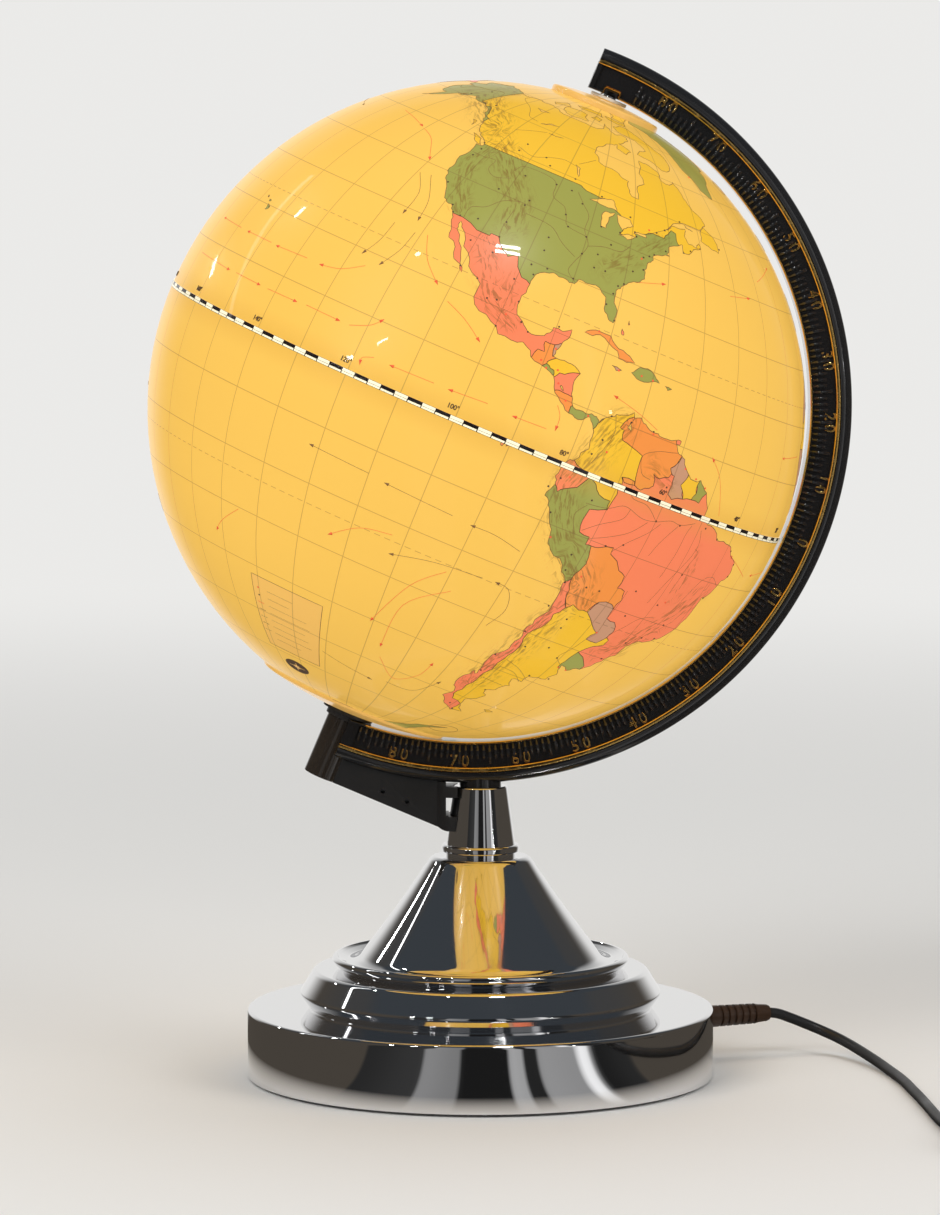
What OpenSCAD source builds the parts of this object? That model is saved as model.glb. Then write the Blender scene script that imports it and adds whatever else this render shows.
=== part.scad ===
// Illuminated desk globe: a ball turning on a tilted axis in a half meridian arm, on a round lamp base.
// Millimetres, +Z up, origin on the desk under the middle of the base, arm towards +X.

/* [Ball] */
// Radius of the ball
globe_r = 125; // [115:1:135]
// Wall of the two halves
shell_t = 1.6; // [1.2:0.1:2]
// How far the southern half stands out at the seam
seam_step = 0.2; // [0.1:0.05:0.3]
// Lean of the ball's axis from the vertical, in degrees
axis_tilt = 23; // [21:0.5:24]
// Place of the ball's centre along X
globe_x = -1.5; // [-3:0.5:0]
// Depth of the spigot that joins the halves
spigot_h = 6; // [4:1:9]
// Width of the equator tape
tape_w = 2.2; // [1.5:0.1:4]
// How far the tape stands out from the southern half
tape_t = 0.2; // [0.1:0.05:0.25]

/* [Polar caps] */
// Radius of the north cap
north_cap_r = 21.5; // [16:0.5:26]
// Height of the north cap above the ball
north_cap_h = 2.3; // [1.8:0.1:2.4]
// Radius of the boss under the north cap, which fills the polar hole
north_boss_r = 7; // [5:0.5:9]
// Radius of the pale washer on the north cap
washer_r = 7.2; // [5:0.2:9]
// Radius of the south cap
south_cap_r = 37.2; // [36:0.1:38]
// Radius of the lamp opening that the south cap covers
lamp_hole_r = 34; // [28:0.5:35]
// Thickness of the south cap
south_cap_t = 1.8; // [1.4:0.1:2.4]
// Radius of the south bush in the cap
bush_r = 10; // [9:0.5:12]

/* [Meridian arm] */
// Gap from the ball's radius to the arm's inner rim
arm_gap = 3.2; // [3.1:0.1:4.5]
// Width of the arm, along the radius
arm_w = 16; // [14:0.5:19]
// Thickness of the arm
arm_t = 18; // [17:0.5:19]
// Depth of the scale's field below the raised rims
field_d = 1.2; // [0.6:0.1:1.6]
// Distance from the inner rim to the middle of the outer rim
rim_gap = 10.7; // [9:0.1:11.5]
// Width of the raised rims
rim_w = 1; // [0.6:0.1:1.6]
// How far the arm's centre lies from the ball's centre along X
arm_dx = -1.5; // [-1.8:0.1:-1]
// How far the arm's centre lies above the ball's centre
arm_dz = 1.8; // [1.2:0.1:2]
// How far the arm runs past the north pole
arm_over = 9; // [8:0.5:11]
// Radius of the pole pin
pin_r = 2.5; // [2:0.1:3]
// Height of the foot between the arm and the neck
arm_foot_h = 1.6; // [1:0.1:2.5]

/* [Axis tube and lamp] */
// Outer radius of the axis tube
tube_r = 7; // [6.5:0.1:7.4]
// Wall of the axis tube
tube_t = 1.5; // [1:0.1:2]
// How far the tube runs down past the arm's outer rim
tube_drop = 8.3; // [7.5:0.1:10]
// Length of the axis tube
tube_len = 48.5; // [44:0.5:56]
// Outer radius of the lamp holder
holder_r = 13.5; // [12:0.5:16]
// Length of the lamp holder
holder_h = 36; // [34:1:44]
// Radius of the bulb's screw cap
cap_r = 7; // [6.5:0.1:7.2]
// Radius of the bulb
bulb_r = 22.5; // [18:0.5:25]

/* [Bracket] */
// Thickness of the bracket's web
web_t = 10; // [9:0.5:12]
// Wall of the bracket's wire channel
web_wall = 2; // [1.8:0.1:2.2]
// Thickness of the channel's cover
cover_t = 1.6; // [1.2:0.1:2]
// Width of the upright band of the heel
heel_w = 5; // [4:0.5:6]
// Gap between that band and the neck
heel_gap = 2.9; // [2.4:0.1:3.4]
// Thickness of the foot that the nut clamps
foot_t = 5.5; // [4.5:0.5:6]

/* [Base] */
// Radius of the drum
drum_r = 89.5; // [84:0.5:96]
// Height of the drum
drum_h = 25.7; // [24:0.1:30]
// Sheet of the chromed shells
sheet_t = 1.2; // [0.8:0.1:1.4]
// Thickness of the felt pad
pad_t = 2.4; // [1.8:0.1:3]
// How far the pad stands out below the drum
pad_proud = 1.2; // [0.8:0.1:1.6]
// Thickness of the plate that closes the drum
plate_t = 2; // [1.5:0.5:3]
// Radius of the ballast
ballast_r = 66; // [56:1:68]
// Thickness of the ballast
ballast_t = 8; // [6:0.5:8]
// Height of the base ring
ring_h = 15.1; // [14:0.1:17]
// Radius of the base ring where it stands on the drum
ring_foot_r = 65.7; // [64:0.1:66]
// Largest radius of the base ring
ring_r = 69.2; // [67:0.1:74]
// Height of the cone above the ring
cone_h = 43.5; // [40:0.5:50]
// Radius of the cone's top
cone_top_r = 20.3; // [19:0.1:23]
// Radius of the cone's upturned lip
lip_r = 57; // [54:0.5:60]

/* [Neck] */
// Radius of the collar at the neck's foot
collar_r = 14.9; // [14.2:0.1:18]
// Height of that collar
collar_h = 4.5; // [3.5:0.1:6]
// Height of the neck
neck_h = 22.5; // [21.5:0.1:24]
// Radius of the neck at its foot
neck_r1 = 13.3; // [12.6:0.1:14]
// Radius of the neck at its top
neck_r2 = 10.3; // [9.8:0.1:11]
// Outer radius of the threaded rod
rod_r = 5; // [4.5:0.1:5.4]
// Bore of the threaded rod
rod_bore_r = 3.2; // [2.6:0.1:3.5]

/* [Cord] */
// Diameter of the mains cord
cord_d = 4; // [3.6:0.1:4.2]
// Height of the cord's exit above the desk
gland_z = 16.8; // [15:0.1:18]
// Radius of the strain relief's barrel
gland_r = 4.2; // [3.6:0.1:4.8]
// Length of the strain relief outside the drum
gland_len = 32.7; // [30:0.1:36]

/* [Hidden] */
$fn = 96;

run_fit = 0.05;   // radial clearance of the ball's two bearings
ease = 0.1;       // radial clearance of a rod or screw in a hole that it passes
play = 0.3;       // gap between faces that turn past each other

// Heights of the stack
drum_top = pad_proud + drum_h;
ring_top = drum_top + ring_h;
cone_top = ring_top + cone_h;
neck_z = cone_top + collar_h;
neck_top = neck_z + neck_h;
plate_top = pad_t + plate_t;
ballast_top = drum_top - sheet_t;
ballast_bottom = ballast_top - ballast_t;

// The arm stands on the neck, and the ball hangs in the arm
arm_ri = globe_r + arm_gap;
arm_ro = arm_ri + arm_w;
rim_r = arm_ri + rim_gap;
arm_c = [globe_x + arm_dx, neck_top + arm_foot_h + arm_ro];
ball_c = [globe_x, arm_c[1] - arm_dz];
arm_lx = arm_dx * cos(axis_tilt) - arm_dz * sin(axis_tilt);   // the arm's centre, across the ball's axis
arm_lz = arm_dx * sin(axis_tilt) + arm_dz * cos(axis_tilt);   // the arm's centre, along the ball's axis

south_r = globe_r + seam_step;
tape_r = south_r + tape_t;
tube_end = arm_ro + tube_drop;
tube_top = tube_end - tube_len;
rim_top = arm_lz + arm_ri - 0.1;      // the inner rim over the north pole, with its slight curve
// The inner rim's distance down the axis, at a distance x across it
function rim_under(x) = sqrt(arm_ri * arm_ri - (x - arm_lx) * (x - arm_lx)) - arm_lz;
cap_top = globe_r + north_cap_h;
cap_bottom = south_r + 0.1;           // the south cap's lowest point, down the axis
collar_top = rim_under(bush_r);       // the bush just clears the arm
collar_hh = 1.9;                      // height of the dark collar
collar_or = tube_r + 0.9;
bush_end = collar_top - play;

foot_z = neck_z + 5.7;                // underside of the bracket's foot
foot_top = foot_z + foot_t;
nut_h = 5;
neck_nut_af = 14;                     // across the flats of the nut in the neck
rod_nut_af = 17;                      // across the flats of the nut under the ballast
washer_t = 1.5;
rod_bottom = ballast_bottom - washer_t - nut_h - 1.7;
rod_top = foot_top + nut_h + 1.3;

heel_x = -(neck_r2 + heel_gap);       // right face of the heel's upright band
heel_left = heel_x - heel_w;
heel_round = 6;                       // rounding of the heel's lower corner
bridge_h = 3.9;                       // height of the heel's bridge to the neck's top
lead_d = 2.4;                         // diameter of the lamp's wire
lead_z = neck_top - 2.7;              // height at which that wire leaves the neck
tube_gate = tube_end - 5.1;           // where the wire enters the tube, down the axis
post_xs = [24, 34];                   // posts of the channel's cover, across the axis
post_z = web_wall + 2.3;              // height of the posts above the bracket's lower edge
post_r = 2.2;
cover_y = web_t / 2 - cover_t;
screw_a = 7.6;                        // place of the arm's screw, in degrees from the arm's lowest point

gland_a = 22;                         // direction of the cord's exit, from +X towards +Y
gland_end = drum_r + gland_len;
hole_r = 3.9;                         // radius of the hole for the strain relief

// The cord's route, points of its centre line after the strain relief's end
cord_r = cord_d / 2;
coil_c = [204.5, -150];
coil_z = 1.2;                         // the coil lies on its tie
coil_ro = 35.1;
coil_ri = 15.7;
coil_h = 8.2;
gland_tip = [gland_end * cos(gland_a), gland_end * sin(gland_a), gland_z];
run_pts = [gland_tip, [117, 47, 16.2], [122, 48.6, 14.3], [128, 49.5, 11.8], [134, 48.6, 9.4], [140, 44, 7.3],
           [145, 36.5, 5.6], [150, 25, 4], [154.5, 11, 2.8], [158, -4, 2.1], [161, -22, 2], [163, -42, 2],
           [165, -64, 2], [166.6, -85, 2], [168, -104, 2.1], [169.6, -120, 2.6], [170.8, -133.4, 3]];
tail_pts = [[238.2, -133.4, 7.2], [238.1, -127, 6.2], [238, -120, 4.3], [237.9, -113, 2.6],
    [237.7, -106, 2.2],
            [237.6, -98, 3.2], [237.6, -90, 5.2], [237.6, -82, 6.8], [237.6, -76, 7]];
plug_h = 14;
plug_w = 24;
plug_len = 30;
plug_x = 237.6;
plug_y = -76;

// A point given across and along the ball's axis, in the frame of the stand
function on_axis_pt(x, z) = [ball_c[0] + x * cos(axis_tilt) + z * sin(axis_tilt), 0,
                             ball_c[1] - x * sin(axis_tilt) + z * cos(axis_tilt)];
function unit(v) = v / norm(v);
// Points of an arc of radius r about c, from angle a to angle b, in n steps
function arc(c, r, a, b, n) = [for (i = [0:n]) let (u = a + (b - a) * i / n) c + r * [cos(u), sin(u)]];
// The outline of a sheet of thickness t on the right of a path
function right_of(a, b) = let (d = unit(b - a)) [d[1], -d[0]];
function sheet_of(p, t) =
    let (n = len(p), sides = [for (i = [0:n - 2]) right_of(p[i], p[i + 1])])
    concat(p, [for (i = [n - 1:-1:0]) let (m = sides[max(i - 1, 0)], k = sides[min(i, n - 2)],
        w = unit(m + k))
               p[i] + t / (w * m) * w]);
// A meridian section's points on a sphere, from the half-chord x0 to the half-chord x1, above or below
// the centre
function dome(r, x0, x1, n, side) = [for (i = [0:n])
    let (a = acos(x0 / r) + (acos(x1 / r) - acos(x0 / r)) * i / n)
                                     [r * cos(a), side * r * sin(a)]];

// Carries a child from the ball's own frame, with Z along its axis, to the stand's
module on_axis() {
    translate([ball_c[0], 0, ball_c[1]]) rotate([0, axis_tilt, 0]) children();
}

// Turns a flat drawing in X and Z upright, and thickens it from y0 to y1
module upright(y0, y1) {
    translate([0, y1, 0]) rotate([90, 0, 0]) linear_extrude(y1 - y0) children();
}

module ring_of(r_out, r_in, h) {
    difference() {
        cylinder(r = r_out, h = h);
        translate([0, 0, -1]) cylinder(r = r_in, h = h + 2);
    }
}

module hex_nut(af, h, bore) {
    difference() {
        cylinder(r = af / 2 / cos(30), h = h, $fn = 6);
        translate([0, 0, -1]) cylinder(r = bore, h = h + 2);
    }
}

// A round tube along a list of points, ends closed
module tube_along(pts, r, sides = 8) {
    n = len(pts);
    dirs = [for (i = [0:n - 1]) unit(pts[min(i + 1, n - 1)] - pts[max(i - 1, 0)])];
    side = [for (d = dirs) unit(cross(d, abs(d[1]) > 0.9 ? [1, 0, 0] : [0, 1, 0]))];
    ringed = [for (i = [0:n - 1]) for (k = [0:sides - 1]) let (a = 360 * k / sides)
              pts[i] + r * (cos(a) * side[i] + sin(a) * cross(dirs[i], side[i]))];
    quads = [for (i = [0:n - 2]) for (k = [0:sides - 1]) let (m = (k + 1) % sides)
             [i * sides + k, (i + 1) * sides + k, (i + 1) * sides + m, i * sides + m]];
    first = [[for (k = [0:sides - 1]) k]];
    last = [[for (k = [sides - 1:-1:0]) (n - 1) * sides + k]];
    polyhedron(points = ringed, faces = concat(quads, first, last), convexity = 6);
}

// ---------- base ----------

post_ring_r = ballast_r - 6;
screw_len = 9;

module at_posts() {
    for (a = [90, 210, 330]) rotate([0, 0, a]) translate([post_ring_r, 0, 0]) children();
}

module felt_pad() {
    color("#222222") cylinder(r = drum_r - sheet_t - 0.4, h = pad_t);
}

module drum_shell() {
    edge = 1;
    color("silver") difference() {
        rotate_extrude() polygon(sheet_of(concat(
            [[rod_r + ease, drum_top]],
            arc([drum_r - edge, drum_top - edge], edge, 90, 0, 5),
            [[drum_r, pad_proud]]), sheet_t));
        translate([0, 0, gland_z]) rotate([0, 90, gland_a])
            translate([0, 0, drum_r - 8]) cylinder(r = hole_r, h = 16);
    }
}

module base_plate() {
    color("dimgray") difference() {
        translate([0, 0, pad_t]) cylinder(r = drum_r - sheet_t - ease, h = plate_t);
        at_posts() translate([0, 0, pad_t - 1]) cylinder(r = 1.6, h = plate_t + 2);
        at_posts() translate([0, 0, pad_t - 1]) cylinder(r = 3.1, h = 2);
    }
}

module plate_screws() {
    color("gainsboro") at_posts() {
        translate([0, 0, pad_t]) cylinder(r = 3, h = 1);
        translate([0, 0, pad_t]) cylinder(r = 1.5, h = screw_len);
    }
}

module ballast_weight() {
    color("#444444") difference() {
        union() {
            translate([0, 0, ballast_bottom]) cylinder(r = ballast_r, h = ballast_t);
            at_posts() translate([0, 0, plate_top]) cylinder(r = 5, h = ballast_bottom - plate_top + 1);
        }
        translate([0, 0, ballast_bottom - 1]) cylinder(r = rod_r + ease, h = ballast_t + 2);
        at_posts() translate([0, 0, plate_top - 1])
            cylinder(r = 1.5, h = pad_t + screw_len - plate_top + 1.5);
    }
}

switch_box = [50, 32, 9];          // body of the touch switch
switch_gap = 4.5;                      // from the flats of the nut on the rod
switch_at = [-rod_nut_af / 2 - switch_gap - switch_box[0], -4, plate_top];

module touch_module() {
    color("whitesmoke") translate(switch_at) {
        cube(switch_box);
        translate([3, 3, switch_box[2]]) cube([switch_box[0] - 6, switch_box[1] - 6, 2]);
    }
}

module base_ring() {
    top_edge = 2.6;
    shoulder = ring_r - 4.2;
    color("silver") rotate_extrude() polygon(sheet_of(concat(
        [[lip_r - 6, ring_top]],
        arc([shoulder - top_edge, ring_top - top_edge], top_edge, 90, 32, 5),
        arc([ring_r - 1.6, drum_top + 6], 1.6, 32, -35, 5),
        [[ring_foot_r, drum_top + 0.5], [ring_foot_r, drum_top]]), sheet_t));
}

module base_cone() {
    edge = 3.4;
    dip = 6.4;                                   // radius of the valley inside the lip
    bend = 5.4;                                  // how far the side turns outward on its way down, in degrees
    top = [cone_top_r - edge, cone_top - edge];
    low = [lip_r - 6, ring_top + 3.2 + dip];
    run = norm(low - top);
    slope = atan((top.y - low.y) / (low.x - top.x)) + asin((edge + dip) / run);
    first = 90 - slope - bend / 2;
    side_r = sqrt(run * run - pow(edge + dip, 2)) / (2 * sin(bend / 2));
    color("silver") rotate_extrude() polygon(sheet_of(concat(
        [[rod_r + ease, cone_top]],
        arc(top, edge, 90, first, 5),
        [for (k = [1:7]) top + (side_r + edge) * [cos(first), sin(first)]
            - side_r * [cos(first + bend * k / 8), sin(first + bend * k / 8)]],
        arc(low, dip, 180 + first + bend, 276, 6),
        [[lip_r - 2.6, ring_top + 4.3]],
        arc([lip_r - 1.5, ring_top + 3.9], 1.4, 110, -20, 5),
        [[lip_r - 1.2, ring_top + 2], [lip_r - 2.6, ring_top + 0.8], [lip_r - 3.8, ring_top]]), 0.9));
}

// ---------- neck ----------

module neck_flange() {
    groove = 1.7;
    color("silver") rotate_extrude() polygon([
        [rod_r + ease, cone_top], [collar_r - 1.6, cone_top], [collar_r - 1.6, cone_top + groove],
        [collar_r - 0.3, cone_top + groove], [collar_r, cone_top + groove + 0.4], [collar_r, neck_z - 0.9],
        [collar_r - 0.3, neck_z - 0.3], [collar_r - 1, neck_z], [rod_r + ease, neck_z]]);
}

module neck_spacer() {
    color("dimgray") translate([0, 0, neck_z]) ring_of(8.5, rod_r, foot_z - neck_z);
}

module neck_sleeve() {
    edge = 0.8;
    color("silver") difference() {
        rotate_extrude() polygon(sheet_of(concat(
            [[0, neck_top]],
            arc([neck_r2 - edge, neck_top - edge], edge, 90, 8, 4),
            [[neck_r1, neck_z]]), sheet_t));
        translate([0, 0, neck_z - 5]) cylinder(r = neck_r1 + 2, h = 5);
        // the slot of the bracket's foot, open below
        translate([-neck_r1 - 2, -foot_w / 2 - ease, neck_z - 1])
            cube([neck_r1 + 2, foot_w + 2 * ease, foot_top + ease - neck_z + 1]);
        translate([0, 0, lead_z]) rotate([0, -90, 0]) cylinder(r = lead_d / 2 + 0.3, h = neck_r1 + 2);
    }
}

module tie_rod() {
    color("gainsboro") translate([0, 0, rod_bottom]) ring_of(rod_r, rod_bore_r, rod_top - rod_bottom);
}

module rod_washer() {
    color("gainsboro") translate([0, 0, ballast_bottom - washer_t]) ring_of(12, rod_r + ease, washer_t);
}

module lower_nut() {
    color("gainsboro") translate([0, 0, ballast_bottom - washer_t - nut_h]) hex_nut(rod_nut_af, nut_h, rod_r);
}

module upper_nut() {
    color("gainsboro") translate([0, 0, foot_top]) hex_nut(neck_nut_af, nut_h, rod_r);
}

// ---------- meridian arm ----------

// Half of the arm's section, from the inner rim outwards: raised rims, the scale's field, and the rounded
// outer band
function arm_half() =
    let (h = arm_t / 2, f = h - field_d, b = rim_r + rim_w / 2 + 0.2, band = arm_ro - b)
    concat([[arm_ri, h - 0.4], [arm_ri + 0.4, h], [arm_ri + rim_w, h], [arm_ri + rim_w + 0.4, f],
            [rim_r - rim_w / 2 - 0.4, f], [rim_r - rim_w / 2, h], [rim_r + rim_w / 2, h]],
           [for (a = [0:15:90]) [b + band * sin(a), h - 4.4 + 4 * cos(a)]]);

module about_arm() {
    translate([arm_c[0], 0, arm_c[1]]) rotate([90, 0, 0]) children();
}

module arm_ring(section) {
    about_arm() rotate_extrude($fn = 180) polygon(section);
}

arm_start = 1.5;       // where the arm ends beside the tube, across the axis
end_wall = 4.5;        // solid end of the scale's field beside the tube
north_wall = 1.7;

// What lies towards -X from a plane along the ball's axis, above or below the centre
module left_of(x, up) {
    on_axis() translate([x - 400, -50, up ? 0 : -400]) cube([400, 100, 400]);
}

module arm_end_walls() {
    h = arm_t / 2 - 0.3;
    intersection() {
        arm_ring([[arm_ri + 0.2, -h], [rim_r, -h], [rim_r, h], [arm_ri + 0.2, h]]);
        on_axis() union() {
            translate([arm_start, -50, -400]) cube([end_wall, 100, 400]);
            translate([-arm_over, -50, 0]) cube([north_wall, 100, 400]);
        }
    }
}

// Along the arm's screw, from the arm's centre outwards
module at_screw() {
    about_arm() rotate([0, 0, -90 - screw_a]) rotate([0, 90, 0]) children();
}

module meridian_arc() {
    half = arm_half();
    section = concat(half, [for (i = [len(half) - 1:-1:0]) [half[i][0], -half[i][1]]]);
    notch_h = 2.6;
    color("#181818") difference() {
        union() {
            difference() {
                arm_ring(section);
                left_of(-arm_over, true);
                left_of(arm_start, false);
            }
            arm_end_walls();
            difference() {
                translate([0, 0, neck_top]) cylinder(r = 8, h = arm_foot_h + 4);
                left_of(arm_start, false);
            }
        }
        on_axis() translate([0, 0, -tube_end]) cylinder(r = tube_r, h = tube_len);
        on_axis() translate([0, 0, -collar_top - collar_hh - ease])
            cylinder(r = collar_or + ease, h = collar_hh + 4);
        on_axis() translate([0, 0, 100]) cylinder(r = pin_r, h = rim_top + 12 - 100);
        // open pockets in the inner rim on each side of the pole pin
        for (s = [-1, 1]) on_axis() translate([-3, s > 0 ? pin_r + 1 : -pin_r - 21, rim_top - 10])
            cube([6, 20, 10 + notch_h]);
        at_screw() translate([0, 0, arm_ro - 8]) cylinder(r = 1.5, h = 12);
    }
}

module pivot_pin() {
    color("silver") on_axis() translate([0, 0, globe_r - 6])
        cylinder(r = pin_r, h = rim_top + 12 - globe_r + 6);
}

// ---------- bracket ----------

foot_w = 8;

// The bracket's flat region, shrunk by a wall on the sides of the arm and the lower edge
module bracket_area(wall, start, stop) {
    difference() {
        intersection() {
            translate(ball_c) rotate(-axis_tilt) translate([start, wall - tube_end]) square([90, 60]);
            translate([stop - 150, 0]) square([150, 400]);
        }
        translate(arm_c) circle(r = arm_ro + wall, $fn = 180);
    }
}

module heel_area() {
    corner = [heel_left + heel_round, foot_z + heel_round];
    difference() {
        union() {
            intersection() {
                translate(corner) circle(r = heel_round, $fn = 64);
                translate([heel_left, foot_z]) square(heel_round);
            }
            translate([heel_left, foot_z + heel_round]) square([heel_w, 40]);
            translate([heel_x - 0.5, neck_top - bridge_h]) square([heel_gap + 2, bridge_h]);
            translate([corner[0] - 0.5, foot_z]) square([-corner[0] + 0.5, foot_t]);
        }
        translate(arm_c) circle(r = arm_ro, $fn = 180);
    }
}

module at_cover_posts() {
    for (x = post_xs) on_axis() translate([x, 0, post_z - tube_end]) rotate([90, 0, 0]) children();
}

channel_start = tube_r + 1.5;               // across the axis
channel_stop = heel_left - 0.2;             // the channel stops at the heel

module arm_bracket() {
    floor_y = -web_t / 2 + web_wall;
    color("#1c1c1c") difference() {
        union() {
            upright(-web_t / 2, web_t / 2) bracket_area(0, arm_start, heel_x);
            intersection() {
                upright(-9, 9) heel_area();
                translate([heel_left + 8.2, 0, 0]) union() {
                    cylinder(r = 8.2, h = 400);
                    translate([0, -foot_w / 2, 0]) cube([40, foot_w, 400]);
                }
            }
            translate([0, 0, foot_z]) cylinder(r = 8.5, h = foot_t);
        }
        // around the neck, but for the foot that goes in through its slot
        difference() {
            translate([0, 0, neck_z]) cylinder(r1 = neck_r1 + ease, r2 = neck_r2 + ease, h = neck_h + 0.01);
            translate([-40, -foot_w / 2, foot_z - 1]) cube([40, foot_w, foot_t + 1]);
            translate([0, 0, foot_z - 1]) cylinder(r = 8.5, h = foot_t + 1);
        }
        translate([0, 0, neck_z]) cylinder(r = rod_r, h = neck_h);
        difference() {
            upright(floor_y, web_t) bracket_area(web_wall, channel_start, channel_stop);
            at_cover_posts() translate([0, 0, -cover_y]) cylinder(r = post_r, h = cover_y - floor_y + 1);
        }
        at_cover_posts() translate([0, 0, -web_t]) cylinder(r = 0.9, h = web_t + 7);
        on_axis() translate([0, 0, -tube_end - 1]) cylinder(r = tube_r, h = tube_len);
        on_axis() translate([tube_r - 1, 0, -tube_gate]) rotate([0, 90, 0])
            cylinder(r = lead_d / 2 + 0.6, h = 6);
        translate([channel_stop - 4, 0, lead_z]) rotate([0, 90, 0]) cylinder(r = lead_d / 2 + 0.4, h = 14);
        at_screw() translate([0, 0, arm_ro - 1]) cylinder(r = 1.6, h = web_wall + 1.5);
    }
}

module bracket_cover() {
    color("#1c1c1c") difference() {
        upright(cover_y, web_t / 2) bracket_area(web_wall + ease, channel_start + ease, channel_stop - ease);
        at_cover_posts() translate([0, 0, -web_t]) cylinder(r = 1, h = web_t);
    }
}

module cover_screws() {
    color("gainsboro") at_cover_posts() {
        translate([0, 0, -web_t / 2 - 1.1]) cylinder(r = 1.9, h = 1.1);
        translate([0, 0, -web_t / 2 - 1]) cylinder(r = 0.9, h = 6);
    }
}

module arm_screw() {
    color("gainsboro") at_screw() {
        translate([0, 0, arm_ro + web_wall]) cylinder(r = 2.4, h = 1.6);
        translate([0, 0, arm_ro - 7.5]) cylinder(r = 1.5, h = 7.5 + web_wall + 0.5);
    }
}

// ---------- axis tube and lamp ----------

module axis_tube() {
    color("#4a3626") difference() {
        on_axis() translate([0, 0, -tube_end]) ring_of(tube_r, tube_r - tube_t, tube_len);
        on_axis() translate([1, 0, -tube_gate]) rotate([0, 90, 0]) cylinder(r = lead_d / 2 + 0.6, h = 8);
    }
}

module tube_plug() {
    color("#1c1c1c") on_axis() translate([0, 0, -tube_end + 0.4]) cylinder(r = tube_r - tube_t, h = 1.4);
}

module tube_collar() {
    color("#1c1c1c") on_axis() translate([0, 0, -collar_top - collar_hh])
        ring_of(collar_or, tube_r, collar_hh);
}

socket_h = 9;                                   // how far the tube enters the holder
holder_z = -tube_top - socket_h;                // lower end of the holder, along the axis
cap_z = -tube_top + 7;                          // lower end of the bulb's cap
cap_h = 24;
liner_t = 0.7;

module lamp_holder() {
    color("whitesmoke") on_axis() translate([0, 0, holder_z]) rotate_extrude() polygon([
        [tube_r, 0], [holder_r - 2, 0], [holder_r, 2.5], [holder_r, holder_h - 4], [holder_r - 1.4, holder_h],
        [cap_r + 0.2 + liner_t, holder_h], [cap_r + 0.2 + liner_t, socket_h + 3], [2.5, socket_h + 3],
        [2.5, socket_h],
        [tube_r, socket_h]]);
}

module holder_shell() {
    color("goldenrod") on_axis() translate([0, 0, -tube_top + 5])
        ring_of(cap_r + 0.2 + liner_t, cap_r + 0.2, holder_h - socket_h - 7);
}

module bulb_cap() {
    color("silver") on_axis() translate([0, 0, cap_z]) rotate_extrude() polygon([
        [0, -1.8], [3, -1.8], [3.6, 0], [cap_r, 1.6], [cap_r, cap_h], [0, cap_h]]);
}

module bulb_glass() {
    centre = bulb_r + 6.5;
    color("ivory") on_axis() translate([0, 0, cap_z + cap_h]) rotate_extrude() polygon(sheet_of(concat(
        [[0, centre + bulb_r], [0.8, centre + bulb_r]],
        [for (a = [84:-8:-60]) [bulb_r * cos(a), centre + bulb_r * sin(a)]],
        [[cap_r, 3.5], [cap_r, 0]]), 0.8));
}

// The lamp's wire: up the rod, across the neck, along the bracket and up the tube
lead_start = switch_at[0] + switch_box[0];
lead_pts = concat(
    [[lead_start, 12, 9], [-8.5, 10.5, 7.4], [-4, 5, 6.8], [-1, 1, 7.4], [0, 0, 9.6]],
    [for (i = [0:5]) [0, 0, 13 + i * (foot_top - 15) / 5]],
    [[0, 0, foot_top + 4.5], [-0.9, 0, lead_z - 1.7], [-3.2, 0, lead_z - 0.2], [-6, 0, lead_z],
        [-13, 0, lead_z],
     [-19, 0, lead_z - 0.2], [-22.5, 0, lead_z - 0.3], [-28, 0, lead_z + 1.3], [-33, 0, lead_z + 3.1],
     [-37.3, 0, lead_z + 4.7], [-42.5, 0, lead_z + 6.2], [-48, 0, lead_z + 7.4]],
    [on_axis_pt(tube_r, -tube_gate), on_axis_pt(3.4, -tube_gate + 0.5), on_axis_pt(1.2, -tube_gate + 1.9),
     on_axis_pt(0.2, -tube_gate + 4.2)],
    [for (i = [0:3]) on_axis_pt(0, -tube_gate + 8 + i * (tube_gate - tube_top - 8) / 3)]);

module lamp_lead() {
    color("white") tube_along(lead_pts, lead_d / 2);
}

function gland_pt(r, z) = [r * cos(gland_a), r * sin(gland_a), z];

module mains_lead() {
    color("#181818") tube_along([
        gland_pt(gland_end, gland_z), gland_pt(drum_r + 20, gland_z), gland_pt(drum_r + 10, gland_z),
        gland_pt(drum_r, gland_z), gland_pt(drum_r - 9.5, gland_z), gland_pt(drum_r - 14.5, gland_z - 0.8),
        gland_pt(drum_r - 19, gland_z - 2.4), gland_pt(drum_r - 23.5, gland_z - 4.2),
        gland_pt(drum_r - 29.5, gland_z - 5.8),
        [45, 19, 10], [30, 16.5, 9.5], [15, 14.5, 9.2], [0, 17, 9], [lead_start, 20, 9]], cord_r);
}

// ---------- ball ----------

module north_hemisphere() {
    inner = globe_r - shell_t;
    lip = inner - 0.1;             // outer radius of the spigot, inside the southern half
    color("khaki") on_axis() rotate_extrude($fn = 180) polygon(concat(
        dome(globe_r, globe_r, north_boss_r, 40, 1),
        dome(inner, north_boss_r, inner * cos(1.2), 40, 1),
        [[inner - 1.6, 2.4], [inner - 1.6, -spigot_h], [lip, -spigot_h], [lip, 0]]));
}

module south_hemisphere() {
    inner = south_r - shell_t;
    color("khaki") on_axis() rotate_extrude($fn = 180) polygon(concat(
        dome(south_r, south_r, lamp_hole_r, 40, -1),
        dome(inner, lamp_hole_r, inner, 40, -1)));
}

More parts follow.
